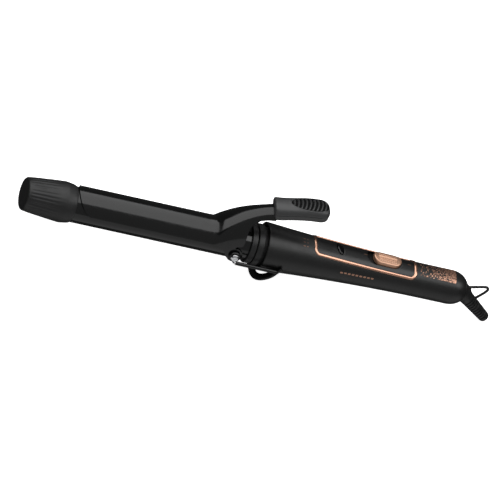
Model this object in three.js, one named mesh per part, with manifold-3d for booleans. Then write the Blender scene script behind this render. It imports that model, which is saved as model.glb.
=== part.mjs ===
// Curling iron with a hinged hair clip, a fold-out wire stand and a swivelling cord boot.
// Millimetres, +Z up. Inside `iron` the barrel's centreline is the X axis, the cool tip points
// to -X, the thumb lever stands to +Z, and the clip and the stand turn about a line along Y
// at x = 0. The exported group sets the iron's lowest point on z = 0 under its middle.
import * as THREE from "three";
import { mergeVertices } from "three/addons/utils/BufferGeometryUtils.js";
import Module from "manifold-3d";

const wasm = await Module();
wasm.setup();

// ---- driving dimensions ----
const GAP = 0.3; // clearance between neighbouring pieces
const ROUND = 40; // facets round the large turned pieces
const SMALL_ROUND = 12; // facets round pins, leads and rings

const barrel = { radius: 12.5, wall: 1, front: -126, back: 30 };
const coolTip = { face: -154, widest: -127.5, back: -118.4, faceRadius: 11.7, widestRadius: 14.4 };
const pivot = { z: -2, earRadius: 5.6, screwRadius: 1.5, headRadius: 3, headFace: 18.4 };
const clip = {
  sheet: 0.8,
  radius: 13.3, // middle of the sheet, round the barrel
  halfWrap: THREE.MathUtils.degToRad(85),
  crownWrap: THREE.MathUtils.degToRad(48),
  front: -117.8,
  cornerLength: 14,
  liftStart: -19,
  neckEnd: 46, // the tongue inside the thumb pad ends here
  earY: 13.8, // middle of the ear's sheet
};
const pad = { front: 15, foot: 19.2, back: 54, halfWidth: 8.3, wall: 4.9, crown: 6.1 };
const grip = { x: 39.2, halfLength: 12.8, halfWidth: 6.3, depth: 1, pitch: 3, ribs: 8, ribWidth: 1.5 };
const rivet = { x: 22, radius: 1.6, head: 1.4 };
const spring = { thickness: 0.5, halfWidth: 3 };
const collar = { front: 9.3, step: 13.9, back: 18.5, frontRadius: 14, backRadius: 14.7 };
const handle = { front: 19.6, back: 168.6, wall: 2, tailRadius: 11.95, flare: 5.1, flareEnd: 145 };
const dome = { start: 158.5, length: 13.8, power: 2.15 };
const trim = { front: 54.7, back: 130.5, halfWidth: 10.6, width: 1.7, corner: 4, proud: 0.35, deep: 1.2 };
const button = { x: 108.8, halfLength: 10.3, halfWidth: 5.5, proud: 1.7, travel: 4 };
const lens = { x: 73.3, halfLength: 2.5, halfWidth: 5.4, proud: 0.5 };
const swivel = { openingRadius: 7.6, shaftRadius: 4, shaftFront: 140, flangeFront: 160.8, centreX: 166.7 };
const seat = { x: 165, radius: 8.9 }; // step inside the tail that the swivel's flange turns against
const slipRing = { front: 143, pitch: 4.4, width: 2.4, thick: 0.8 };
const boot = {
  angle: THREE.MathUtils.degToRad(36.8),
  start: 9.4, // the ribbed part begins this far down the boot's own line
  end: 34,
  plugRadius: 4.1,
  rootRadius: 5.1,
  endRadius: 3.75,
  boreRadius: 2.6,
};
const loopRadius = 0.85;
const stand = {
  wireRadius: 1.1,
  eyeRadius: 3.1, // middle of the wire, round the screw
  eyeY: 15.6,
  armEnd: 33,
  halfWidth: 18.5,
  footLean: THREE.MathUtils.degToRad(38),
  footDepth: 20.3,
  footBend: 2.6, // 2 is a plain half oval; more gives a flatter bottom, which stops the iron rolling
  footRadius: 1.7,
};
const heater = { front: -108, back: -26, stripThick: 3, stripHalfWidth: 8, contact: 0.4 };
const plug = { length: 14, insert: 8, postRadius: 6 };
const chassis = { front: 36, back: 138, halfWidth: 9, floor: -4.6, wall: 2.4, seatZ: 2 };
const board = { front: 58, back: 132, halfWidth: 7.6, z: 2.3, thick: 1.6, screws: [66, 124] };
const switchBox = { front: -10.5, back: 6.5, halfWidth: 3.4, height: 3.2, sliderHalf: 4.2 };

// ---- materials ----
const paint = (color, roughness, metalness = 0) =>
  new THREE.MeshStandardMaterial({ color, roughness, metalness });
const materials = {
  barrelCoat: paint("#1b1d1d", 0.22),
  clipCoat: paint("#1b1d1d", 0.2),
  tipPlastic: paint("#202122", 0.55),
  softTouch: paint("#18191a", 0.5),
  collarPlastic: paint("#1d1e1e", 0.5),
  padPlastic: paint("#232425", 0.4),
  gripRubber: paint("#161717", 0.75),
  panelPlastic: paint("#141515", 0.3),
  roseGold: paint("#c98a66", 0.3, 0.8),
  lensPlastic: paint("#0c0d0e", 0.1),
  chrome: paint("#d8dadb", 0.15, 1),
  wireCoat: paint("#151616", 0.35),
  bootRubber: paint("#191a1a", 0.6),
  aluminium: paint("#b4b8bb", 0.4, 1),
  ceramic: paint("#d9cfbd", 0.6),
  brass: paint("#b8934a", 0.35, 1),
  springSteel: paint("#8b8f92", 0.3, 1),
  leadSleeve: paint("#e8e4da", 0.7),
  boardGreen: paint("#1f5a35", 0.5),
  innerPlastic: paint("#3a3b3c", 0.6),
  ledEpoxy: paint("#b33a2a", 0.2),
};

// ---- solids ----
// A closed geometry as a manifold solid, turned right side out.
function solid(geometry) {
  const positions = new THREE.BufferGeometry().setAttribute("position", geometry.getAttribute("position"));
  if (geometry.index) positions.setIndex(geometry.index);
  const merged = mergeVertices(positions, 1e-4);
  const vertProperties = new Float32Array(merged.attributes.position.array);
  const triVerts = new Uint32Array(merged.index.array);
  const made = new wasm.Manifold(new wasm.Mesh({ numProp: 3, vertProperties, triVerts }));
  if (made.volume() >= 0) return made;
  triVerts.reverse();
  return new wasm.Manifold(new wasm.Mesh({ numProp: 3, vertProperties, triVerts }));
}

function geometryOf(manifold) {
  const { numProp, vertProperties, triVerts } = manifold.getMesh();
  const positions = new Float32Array((vertProperties.length / numProp) * 3);
  for (let i = 0; i < positions.length / 3; i++) {
    positions.set(vertProperties.subarray(i * numProp, i * numProp + 3), i * 3);
  }
  const geometry = new THREE.BufferGeometry();
  geometry.setAttribute("position", new THREE.BufferAttribute(positions, 3));
  geometry.setIndex(new THREE.BufferAttribute(new Uint32Array(triVerts), 1));
  geometry.computeVertexNormals();
  return geometry;
}

const cut = (base, ...tools) => tools.reduce((left, tool) => left.subtract(tool), base);
const join = (...solids) => solids.reduce((left, right) => left.add(right));

// Turns a profile of [x, radius] points about the X axis.
function turned(profile, facets = ROUND) {
  const points = profile.map(([x, radius]) => new THREE.Vector2(radius, x));
  return solid(new THREE.LatheGeometry(points, facets).rotateZ(-Math.PI / 2));
}

// A ring or tube about the X axis.
function tube(x0, x1, inner, outer, facets = ROUND) {
  return turned([[x0, inner], [x0, outer], [x1, outer], [x1, inner], [x0, inner]], facets);
}

// A plain turned bar about the X axis.
function bar(x0, x1, radius, facets = ROUND) {
  return turned([[x0, 0], [x0, radius], [x1, radius], [x1, 0]], facets);
}

// A pin along Y at (x, z).
function crossPin(x, z, y0, y1, radius, facets = SMALL_ROUND) {
  const geometry = new THREE.CylinderGeometry(radius, radius, y1 - y0, facets);
  return solid(geometry.translate(x, (y0 + y1) / 2, z));
}

// An upright pin along Z at (x, y).
function uprightPin(x, y, z0, z1, radius, facets = SMALL_ROUND) {
  const geometry = new THREE.CylinderGeometry(radius, radius, z1 - z0, facets).rotateX(Math.PI / 2);
  return solid(geometry.translate(x, y, (z0 + z1) / 2));
}

function block([x0, x1], [y0, y1], [z0, z1]) {
  const geometry = new THREE.BoxGeometry(x1 - x0, y1 - y0, z1 - z0);
  return solid(geometry.translate((x0 + x1) / 2, (y0 + y1) / 2, (z0 + z1) / 2));
}

// A flat outline in X and Z, pushed out along Y.
function sideSlab(shape, y0, y1, curveSegments = 8) {
  const geometry = new THREE.ExtrudeGeometry(shape, { depth: y1 - y0, bevelEnabled: false, curveSegments });
  return solid(geometry.rotateX(Math.PI / 2).translate(0, y1, 0));
}

// A flat outline in X and Y, pushed up along Z.
function planSlab(shape, z0, z1, curveSegments = 8) {
  const geometry = new THREE.ExtrudeGeometry(shape, { depth: z1 - z0, bevelEnabled: false, curveSegments });
  return solid(geometry.translate(0, 0, z0));
}

function roundedRectangle(x0, x1, halfWidth, corner) {
  const shape = new THREE.Shape();
  shape.moveTo(x0 + corner, -halfWidth);
  shape.lineTo(x1 - corner, -halfWidth);
  shape.absarc(x1 - corner, -halfWidth + corner, corner, -Math.PI / 2, 0);
  shape.lineTo(x1, halfWidth - corner);
  shape.absarc(x1 - corner, halfWidth - corner, corner, 0, Math.PI / 2);
  shape.lineTo(x0 + corner, halfWidth);
  shape.absarc(x0 + corner, halfWidth - corner, corner, Math.PI / 2, Math.PI);
  shape.lineTo(x0, -halfWidth + corner);
  shape.absarc(x0 + corner, -halfWidth + corner, corner, Math.PI, 1.5 * Math.PI);
  return shape;
}

function oval(x, halfLength, halfWidth) {
  return new THREE.Shape().absellipse(x, 0, halfLength, halfWidth, 0, 2 * Math.PI);
}

// Joins rings of the same number of points into one closed body with flat ends.
function loft(rings) {
  const count = rings[0].length;
  const positions = rings.flat().flatMap((point) => [point.x, point.y, point.z]);
  const index = [];
  for (let i = 0; i + 1 < rings.length; i++) {
    for (let j = 0; j < count; j++) {
      const [a, b] = [i * count + j, i * count + ((j + 1) % count)];
      index.push(a, b, a + count, b, b + count, a + count);
    }
  }
  const last = (rings.length - 1) * count;
  for (let j = 0; j < count / 2 - 1; j++) {
    // each end is a strip between the ring's two halves, which face each other
    const [a, b, c, d] = [j, j + 1, count - 2 - j, count - 1 - j];
    index.push(a, d, b, b, d, c, last + a, last + b, last + d, last + b, last + c, last + d);
  }
  const geometry = new THREE.BufferGeometry();
  geometry.setAttribute("position", new THREE.Float32BufferAttribute(positions, 3));
  geometry.setIndex(index);
  return solid(geometry);
}

// A round rod along a curve.
function rod(curve, radius, steps, sides = 10) {
  const section = new THREE.Shape(
    Array.from({ length: sides }, (_, i) => {
      const angle = ((i + 0.5) * 2 * Math.PI) / sides;
      return new THREE.Vector2(radius * Math.cos(angle), radius * Math.sin(angle));
    }),
  );
  return solid(new THREE.ExtrudeGeometry(section, { steps, extrudePath: curve, bevelEnabled: false }));
}

const smooth = (t) => {
  const clamped = Math.min(1, Math.max(0, t));
  return clamped * clamped * (3 - 2 * clamped);
};

// ---- the assembly ----
const iron = new THREE.Group();
const place = (name, manifold, material, group = iron) => {
  const mesh = new THREE.Mesh(geometryOf(manifold), material);
  mesh.name = name;
  group.add(mesh);
  return mesh;
};

// Heated barrel, its cool tip and what holds them together.
function addBarrel() {
  const inner = barrel.radius - barrel.wall;
  const pivotHole = crossPin(0, pivot.z, -20, 20, pivot.screwRadius + GAP);
  const shell = tube(barrel.front, barrel.back, inner, barrel.radius);
  place("barrel", shell.subtract(pivotHole), materials.barrelCoat);

  const post = plug.postRadius;
  const { face, widest, back, faceRadius, widestRadius } = coolTip;
  const cap = turned([
    [face, 0],
    [face, faceRadius - 1.6],
    [face + 0.5, faceRadius - 0.5],
    [face + 1.8, faceRadius + 0.1],
    [face + 13, faceRadius + 1.2],
    [widest - 4, widestRadius - 0.6],
    [widest, widestRadius],
    [widest + 4, widestRadius - 0.15],
    [widest + 6.5, widestRadius - 0.6],
    [back - 0.8, barrel.radius + 0.9],
    [back, barrel.radius + 0.5],
    [back, barrel.radius + GAP],
    [barrel.front - 1.3, barrel.radius + GAP],
    [barrel.front - 1.3, post],
    [face + 4, post],
    [face + 4, 0],
  ]);
  place("cool_tip", cap, materials.tipPlastic);

  // The plug is pressed into the barrel's end, and the cap snaps over its nose.
  const fitted = barrel.radius - 0.2;
  const ceramicPlug = turned([
    [barrel.front - plug.length, 0],
    [barrel.front - plug.length, post - 1],
    [barrel.front - 1, post - GAP],
    [barrel.front - 1, fitted],
    [barrel.front - GAP, fitted],
    [barrel.front - GAP, inner - 0.2],
    [barrel.front + plug.insert, inner - 0.2],
    [barrel.front + plug.insert, 0],
  ]);
  place("tip_plug", ceramicPlug, materials.ceramic);
}

// Ceramic heating strip clamped between two half-round aluminium blocks, with its contacts.
function addHeater() {
  const { front, back, stripThick, stripHalfWidth, contact } = heater;
  const outer = barrel.radius - barrel.wall - GAP;
  const contactFace = stripThick / 2 + 0.1;
  const halfGap = contactFace + contact + 0.2;
  const across = [-outer, outer];
  const round = bar(front, back, outer);
  const upper = round.intersect(block([front, back], across, [halfGap, outer]));
  const lower = round.intersect(block([front, back], across, [-outer, -halfGap]));
  place("heater_block_upper", upper, materials.aluminium);
  place("heater_block_lower", lower, materials.aluminium);
  const stripHeight = [-stripThick / 2, stripThick / 2];
  const strip = block([front + 4, back - 4], [-stripHalfWidth, stripHalfWidth], stripHeight);
  place("ceramic_heater", strip, materials.ceramic);
  const tagX = back + 5;
  const tagY = 3;
  for (const [name, side] of [["contact_plate_upper", 1], ["contact_plate_lower", -1]]) {
    const z = [contactFace * side, (contactFace + contact) * side].sort((a, b) => a - b);
    const plate = block([front + 6, back - 4], [-stripHalfWidth + 1, stripHalfWidth - 1], z);
    const tag = block([back - 5, tagX], [side * tagY - 1.5, side * tagY + 1.5], z);
    place(name, join(plate, tag), materials.brass);
  }

  const leadRadius = 0.9;
  // Leads run from the contact tags past the cross pin to the terminal block in the handle.
  for (const [name, side] of [["heater_lead_live", 1], ["heater_lead_neutral", -1]]) {
    const route = [
      [tagX + 0.4, side * tagY, side * 1.8],
      [-14, side * 4, side * 4],
      [-7, side * 5, side * 7],
      [7, side * 5, side * 7],
      [18, side * 4, side * 5],
      [30, side * 3, 1],
      [37.7, side * 3, -0.3],
    ].map((point) => new THREE.Vector3(...point));
    place(name, rod(new THREE.CatmullRomCurve3(route), leadRadius, 24, 8), materials.leadSleeve);
  }
  const fuse = { front: -21, back: -11, radius: 1.9, y: -8.5, z: -3.7 };
  const fuseBody = bar(fuse.front, fuse.back, fuse.radius, SMALL_ROUND).translate([0, fuse.y, fuse.z]);
  place("thermal_fuse", fuseBody, materials.chrome);
}

// Cross pin inside the barrel, and the two screws that the clip and the stand turn on.
function addPivot() {
  const pinEnd = barrel.radius - barrel.wall - 1.6;
  const threadDepth = 4;
  const socket = pivot.screwRadius + 0.1;
  const pin = cut(
    crossPin(0, pivot.z, -pinEnd, pinEnd, 3.4, 20),
    crossPin(0, pivot.z, -pinEnd - 1, -pinEnd + threadDepth, socket),
    crossPin(0, pivot.z, pinEnd - threadDepth, pinEnd + 1, socket),
  );
  place("pivot_pin", pin, materials.springSteel);
  const headBase = stand.eyeY + stand.wireRadius + GAP;
  const { screwRadius, headRadius, headFace } = pivot;
  const screw = turned(
    [
      [pinEnd - threadDepth + 0.3, 0],
      [pinEnd - threadDepth + 0.3, screwRadius],
      [headBase, screwRadius],
      [headBase, headRadius],
      [headFace - 0.8, headRadius],
      [headFace - 0.3, headRadius - 0.5],
      [headFace, headRadius - 1.5],
      [headFace, 0],
    ],
    20,
  );
  const slotted = screw.subtract(block([headFace - 0.7, headFace + 1], [-4, 4], [-0.35, 0.35]));
  place("pivot_screw_left", slotted.rotate([0, 0, -90]).translate([0, 0, pivot.z]), materials.chrome);
  place("pivot_screw_right", slotted.rotate([0, 0, 90]).translate([0, 0, pivot.z]), materials.chrome);
}

// Middle of the clip's sheet along the top of the plate and the lever.
const leverLine = new THREE.CatmullRomCurve3(
  [
    [-22, clip.radius],
    [clip.liftStart, clip.radius + 0.1],
    [-17, 13.8],
    [-13, 17.9],
    [-7.5, 22.9],
    [-2.5, 26.7],
    [3.5, 30.3],
    [9.5, 33.1],
    [16.5, 35.7],
    [28, 38.9],
    [clip.neckEnd, 41.6],
  ].map(([x, z]) => new THREE.Vector3(x, 0, z)),
);

function leverHeight(x) {
  if (x <= -22) return clip.radius;
  let [low, high] = [0, 1];
  for (let i = 0; i < 30; i++) {
    const middle = (low + high) / 2;
    if (leverLine.getPoint(middle).x < x) low = middle;
    else high = middle;
  }
  return leverLine.getPoint(low).z;
}

const crownSteps = 4;
const plateStep = 2.4;
const plateEnd = clip.liftStart - 3 + 16 * plateStep;

// Half of the sheet's cross-section at x, from the crown to the lower edge, as [y, z].
function clipSection(x) {
  const rise = smooth((x - clip.liftStart) / 32);
  const crownRadius = THREE.MathUtils.lerp(clip.radius, 7.8, rise);
  const front = Math.min(1, Math.max(0, (clip.front + clip.cornerLength - x) / clip.cornerLength));
  const wrapShare = Math.sqrt(1 - front * front); // rounds the plate's front corners
  const narrow = THREE.MathUtils.lerp(1, 0.9, rise);
  const crownWrap = clip.crownWrap * wrapShare * narrow;
  const top = leverHeight(x);
  const crown = [];
  for (let i = 0; i <= crownSteps; i++) {
    const angle = (crownWrap * i) / crownSteps;
    crown.push([crownRadius * Math.sin(angle), top - crownRadius * (1 - Math.cos(angle))]);
  }
  // The side runs on as a smooth curve to the plate's edge or down to the ear.
  const ear = smooth((x + 13) / 8);
  const halfWrap = clip.halfWrap * wrapShare;
  const sideY = THREE.MathUtils.lerp(clip.earY, 8.6, smooth((x - 3) / 15));
  const edge = [
    THREE.MathUtils.lerp(clip.radius * Math.sin(halfWrap), sideY, smooth((x + 19) / 8)),
    THREE.MathUtils.lerp(clip.radius * Math.cos(halfWrap), pivot.z - pivot.earRadius - 1, ear),
  ];
  const [startY, startZ] = crown.at(-1);
  const reach = 0.341 * Math.hypot(edge[0] - startY, edge[1] - startZ);
  const edgeLean = Math.PI / 2 - THREE.MathUtils.lerp(halfWrap, Math.PI / 2, smooth((x + 19) / 8));
  const curve = new THREE.CubicBezierCurve(
    new THREE.Vector2(startY, startZ),
    new THREE.Vector2(startY + reach * Math.cos(crownWrap), startZ - reach * Math.sin(crownWrap)),
    new THREE.Vector2(edge[0] - reach * Math.sin(edgeLean), edge[1] + reach * Math.cos(edgeLean)),
    new THREE.Vector2(...edge),
  );
  const side = curve.getPoints(5).slice(1).map((point) => [point.x, point.y]);
  return [...crown, ...side];
}

// One closed sheet through the sections at the given stations.
function sheetThrough(stations, sectionAt, thickness) {
  const rows = stations.map((x) => {
    const half = sectionAt(x);
    const full = [...half.slice(1).reverse().map(([y, z]) => [-y, z]), ...half];
    return full.map(([y, z]) => new THREE.Vector3(x, y, z));
  });
  const normalAt = (i, j) => {
    const row = rows[i];
    const across = row[Math.min(j + 1, row.length - 1)].clone().sub(row[Math.max(j - 1, 0)]);
    const along = rows[Math.min(i + 1, rows.length - 1)][j].clone().sub(rows[Math.max(i - 1, 0)][j]);
    return along.cross(across).normalize();
  };
  const rings = rows.map((row, i) => {
    const offset = (share) =>
      row.map((point, j) => point.clone().addScaledVector(normalAt(i, j), share * thickness));
    return [...offset(0.5), ...offset(-0.5).reverse()];
  });
  return loft(rings);
}

// Hair clip: one pressed sheet that holds the hair, carries the two ears and rises into the lever.
function addClip() {
  const corners = [8, 22, 36, 50, 64, 78, 90].map(
    (degrees) => clip.front + clip.cornerLength * (1 - Math.cos(THREE.MathUtils.degToRad(degrees))),
  );
  const lifted = Array.from({ length: 17 }, (_, i) => clip.liftStart - 3 + i * plateStep);
  const plate = sheetThrough([...corners, ...lifted], clipSection, clip.sheet);

  // Behind the ears the sides are cut away up to the neck of the lever.
  const behind = new THREE.Shape();
  behind.moveTo(30, -20);
  behind.lineTo(-1.6, -20);
  behind.lineTo(-1.6, 3.6);
  behind.quadraticCurveTo(-1.4, 5.7, 0.6, 6.1);
  behind.quadraticCurveTo(3.1, 6.4, 3.1, 9);
  behind.lineTo(2.7, 18.5);
  behind.quadraticCurveTo(3.4, 25.4, 8, 27.7);
  behind.lineTo(13.4, 29.8);
  behind.lineTo(30, 34);
  const inFront = new THREE.Shape();
  inFront.moveTo(-20, -20);
  inFront.lineTo(0, -20);
  inFront.lineTo(-1.2, pivot.z - 5.2);
  inFront.quadraticCurveTo(-5.4, -4.6, -7.2, -1.8);
  inFront.quadraticCurveTo(-9.4, 0.6, -14, 0.9);
  inFront.lineTo(-20, 0.9);
  const trimmed = cut(plate, sideSlab(behind, -30, 30), sideSlab(inFront, -30, 30));

  const earIn = clip.earY - clip.sheet / 2;
  const earOut = clip.earY + clip.sheet / 2;
  const ears = [-1, 1].map((side) => {
    const [y0, y1] = side > 0 ? [earIn, earOut] : [-earOut, -earIn];
    return crossPin(0, pivot.z, y0, y1, pivot.earRadius, 24);
  });
  const pivotHole = crossPin(0, pivot.z, -20, 20, pivot.screwRadius + 0.2);
  const tongueStations = [13, 17, 22, 28, 34, 40, clip.neckEnd];
  const tongue = sheetThrough(tongueStations, tongueSection, clip.sheet);
  const sheet = cut(join(trimmed, ...ears, tongue), pivotHole, padRivet(rivet.radius + 0.2, 2, GAP));
  place("clip_plate", sheet, materials.clipCoat);
}

// The tongue is the flat end of the lever, inside the thumb pad: the crown of its last full section.
function tongueSection(x) {
  const crown = clipSection(plateEnd).slice(0, crownSteps + 1);
  const lift = leverHeight(x) - leverHeight(plateEnd);
  return crown.map(([y, z]) => [y, z + lift]);
}

// Underside of the thumb pad at x.
const padFloor = (x) => 30.6 + 6.4 * Math.sin((Math.PI / 2) * smooth((x - 13) / 46));

// Half-width and height shares that round the pad's ends.
function padShare(x) {
  const intoFront = Math.min(1, (x - pad.front) / 1.6);
  const intoBack = Math.min(1, (pad.back - x) / 7);
  const front = 0.9 + 0.1 * Math.sqrt(Math.max(0, 1 - (1 - intoFront) ** 2));
  const back = Math.sqrt(Math.max(0, 1 - (1 - intoBack) ** 2.2));
  return { width: front * (0.5 + 0.5 * back), height: front * (0.62 + 0.38 * back) };
}

// Closed ring of the pad's cross-section, shrunk by inset, as [y, z] from the floor's middle round.
function padRing(x, inset = 0) {
  const share = padShare(x);
  const halfWidth = pad.halfWidth * share.width - inset;
  const floor = padFloor(x) + inset + (1 - share.height) * 2;
  const wall = pad.wall * share.height - inset;
  const crown = Math.max(0.5, pad.crown * share.height - inset);
  const ring = [];
  const crownSteps = 10;
  for (let i = 0; i <= crownSteps; i++) {
    const angle = (Math.PI * i) / crownSteps;
    ring.push([halfWidth * Math.cos(angle), floor + wall + crown * Math.sin(angle)]);
  }
  ring.push([-halfWidth, floor + 0.9], [-halfWidth + 0.9, floor]);
  ring.push([halfWidth - 0.9, floor], [halfWidth, floor + 0.9]);
  return ring;
}

function padBody(inset = 0) {
  const stations = [0, 0.6, 1.6, 5, 10, 16, 22, 28, 33, 35.6, 37.4, 38.4, 39].map((step) => pad.front + step);
  // the ring starts at the floor's far corner, so that its two halves face in the end caps
  return loft(
    stations.map((x) => {
      const points = padRing(x, inset).map(([y, z]) => new THREE.Vector3(x, y, z));
      return [...points.slice(5), ...points.slice(0, 5)].reverse();
    }),
  );
}

// Rivet that holds the pad to the tongue from below; with a clearance it is the hole for it.
function padRivet(radius, below, above) {
  const base = padFloor(rivet.x) - below;
  return uprightPin(rivet.x, 0, base, leverHeight(rivet.x) + rivet.head + above, radius);
}

// Thumb pad: a moulded shell pushed over the tongue, with a ribbed rubber insert on top.
function addThumbPad() {
  const slant = new THREE.Shape();
  const floor = padFloor(pad.front);
  slant.moveTo(pad.front - 5, floor - 3);
  slant.lineTo(pad.foot + 1.2, floor - 3);
  slant.lineTo(pad.front - 0.2, floor + 12);
  slant.lineTo(pad.front - 5, floor + 12);
  const body = padBody().subtract(sideSlab(slant, -12, 12));
  const slotStations = [pad.front - 2, pad.front + 3, 26, 32, 38, 42, clip.neckEnd + 0.8];
  const slotSection = (x) => {
    const section = tongueSection(x);
    const [edgeY, edgeZ] = section.pop();
    return [...section, [edgeY + 0.5, edgeZ - 0.4]];
  };
  const slot = sheetThrough(slotStations, slotSection, clip.sheet + 0.7);
  const over = 60; // a height clear above the pad
  const insert = planSlab(oval(grip.x, grip.halfLength, grip.halfWidth), 30, over, 10);
  const core = padBody(grip.depth + GAP);
  const recessOutline = oval(grip.x, grip.halfLength + GAP, grip.halfWidth + GAP);
  const recess = planSlab(recessOutline, 41, over, 10).subtract(core);
  const shell = cut(body, slot, recess, padRivet(rivet.radius + 0.2, 2, GAP));
  place("thumb_pad", shell, materials.padPlastic);

  const bed = body.intersect(insert).subtract(padBody(grip.depth));
  const width = [-pad.halfWidth, pad.halfWidth];
  const upperHalf = block([pad.front, pad.back], width, [padFloor(grip.x) + 3.4, over]);
  const floorBed = padBody(0.45).intersect(insert).subtract(padBody(grip.depth)).intersect(upperHalf);
  const ribs = [];
  for (let i = 0; i < grip.ribs; i++) {
    const x = grip.x + (i - (grip.ribs - 1) / 2) * grip.pitch;
    const slice = [x - grip.ribWidth / 2, x + grip.ribWidth / 2];
    ribs.push(bed.intersect(block(slice, width, [padFloor(x) + 4, over])));
  }
  place("thumb_grip", join(floorBed, ...ribs), materials.gripRubber);

  place("pad_rivet", padRivet(rivet.radius, 0.5, 0), materials.chrome);
}

// Leaf spring: riveted under the lever, its free end rests on the barrel in front of the collar.
function addClipSpring() {
  const line = new THREE.Path();
  line.moveTo(13.4, 31.6);
  line.lineTo(9, 29.7);
  line.bezierCurveTo(3, 27, -3, 22.5, -6.4, 17.4);
  line.quadraticCurveTo(-7.4, 15.6, -5.6, 14.6);
  line.quadraticCurveTo(-2, 13.2, 5.6, 13.1);
  const points = line.getPoints(7);
  const normals = points.map((_, i) => {
    const ahead = points[Math.min(i + 1, points.length - 1)];
    const tangent = ahead.clone().sub(points[Math.max(i - 1, 0)]).normalize();
    return new THREE.Vector2(-tangent.y, tangent.x).multiplyScalar(spring.thickness / 2);
  });
  const above = points.map((point, i) => point.clone().add(normals[i]));
  const below = points.map((point, i) => point.clone().sub(normals[i]));
  const outline = new THREE.Shape([...above, ...below.reverse()]);
  place("clip_spring", sideSlab(outline, -spring.halfWidth, spring.halfWidth), materials.springSteel);
}

// Moulded collar that grips the barrel, and the cap that closes the handle's mouth.
function addCollar() {
  const bore = barrel.radius + GAP;
  const { front, step, back, frontRadius, backRadius } = collar;
  const ring = turned([
    [front, bore],
    [front, frontRadius - 0.5],
    [front + 0.5, frontRadius],
    [step - GAP, frontRadius],
    [step - GAP, bore],
    [front, bore],
  ]);
  place("barrel_collar", ring, materials.collarPlastic);
  const cap = turned([
    [step, bore],
    [step, backRadius - 0.4],
    [step + 0.4, backRadius],
    [back, backRadius],
    [back, backRadius - 0.6],
    [back + 8, backRadius - 0.9],
    [back + 8, bore],
    [step, bore],
  ]);
  place("handle_cap", cap, materials.collarPlastic);
}

// Radius of the handle's outer face at x.
function handleRadius(x) {
  const flare = handle.flare * Math.max(0, (handle.flareEnd - x) / (handle.flareEnd - 20)) ** 1.9;
  const intoDome = Math.max(0, x - dome.start) / dome.length;
  return (handle.tailRadius + flare) * (1 - intoDome ** dome.power) ** (1 / dome.power);
}

const domeStations = [dome.start, 161.5, 164, 166, 167.5, handle.back];
const handleStations = [20.6, 25, 33, 43, 55, 69, 85, 105, 130, ...domeStations];

// The handle's outer face offset outwards, closed on the axis.
function handleForm(offset, x0 = handleStations[0], x1 = handle.back) {
  const inside = handleStations.filter((x) => x > x0 && x < x1);
  const stations = [x0, ...inside, x1];
  const profile = stations.map((x) => [x, handleRadius(x) + offset]);
  return turned([[x0, 0], ...profile, [x1, 0]]);
}

// The trim's outline drawn in by inset, with its corners tightened.
function trimOutline(inset, tighter) {
  const { front, back, halfWidth, corner } = trim;
  return roundedRectangle(front + inset, back - inset, halfWidth - inset, corner - tighter);
}

function addHandle() {
  const { front, wall, back } = handle;
  const over = handleRadius(front) * 2; // a height clear above the handle
  const outline = handleStations.map((x) => [x, handleRadius(x)]);
  const bore = handleStations.filter((x) => x <= dome.start).map((x) => [x, handleRadius(x) - wall]);
  const shell = turned([
    [front, handleRadius(front) - 1.2],
    [front + 0.2, handleRadius(front) - 0.5],
    ...outline,
    [back, swivel.openingRadius],
    [seat.x, swivel.openingRadius],
    [seat.x, seat.radius],
    ...bore.reverse(),
    [front, collar.backRadius + 0.35],
    [front, handleRadius(front) - 1.2],
  ]);
  const rebate = planSlab(trimOutline(-0.15, 0), 0, over).subtract(handleForm(-trim.deep - 0.1));
  const window = planSlab(trimOutline(3, 2), 0, over);
  place("handle_sleeve", cut(shell, rebate, window), materials.softTouch);

  const inner = planSlab(trimOutline(trim.width, 1), 0, over);
  const frame = planSlab(trimOutline(0, 0), 2, over)
    .subtract(inner)
    .intersect(handleForm(trim.proud).subtract(handleForm(-trim.deep)));
  place("trim_frame", frame, materials.roseGold);
}

// Inset control panel with its slide button and indicator window.
function addPanel() {
  const over = handleRadius(handle.front) * 2; // a height clear above the handle
  const slotGap = 0.6;
  const slotHalf = button.halfLength + button.travel / 2 + slotGap;
  const slot = oblong(button.x - button.travel / 2, slotHalf, button.halfWidth + slotGap);
  const window = oval(lens.x, lens.halfLength + 0.2, lens.halfWidth + 0.2);
  const inset = planSlab(trimOutline(trim.width + 0.2, 1.1), 2, over);
  const plate = inset.intersect(handleForm(0).subtract(handleForm(-trim.deep)));
  const opened = cut(plate, planSlab(slot, 0, over), planSlab(window, 0, over));
  place("control_panel", opened, materials.panelPlastic);
  const lensOutline = planSlab(oval(lens.x, lens.halfLength, lens.halfWidth), 2, over);
  const lensForm = handleForm(lens.proud).subtract(handleForm(-trim.deep));
  place("indicator_lens", lensOutline.intersect(lensForm), materials.lensPlastic);

  const cap = planSlab(oblong(button.x, button.halfLength, button.halfWidth), 2, over)
    .intersect(handleForm(button.proud).subtract(handleForm(-trim.deep - 0.9)));
  const stem = block([button.x - 2.5, button.x + 2.5], [-1.5, 1.5], [8.3, 11]);
  place("slide_button", join(cap, stem), materials.roseGold);
}

// A slot outline with round ends.
function oblong(x, halfLength, halfWidth) {
  return roundedRectangle(x - halfLength, x + halfLength, halfWidth, halfWidth - 0.01);
}

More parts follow.
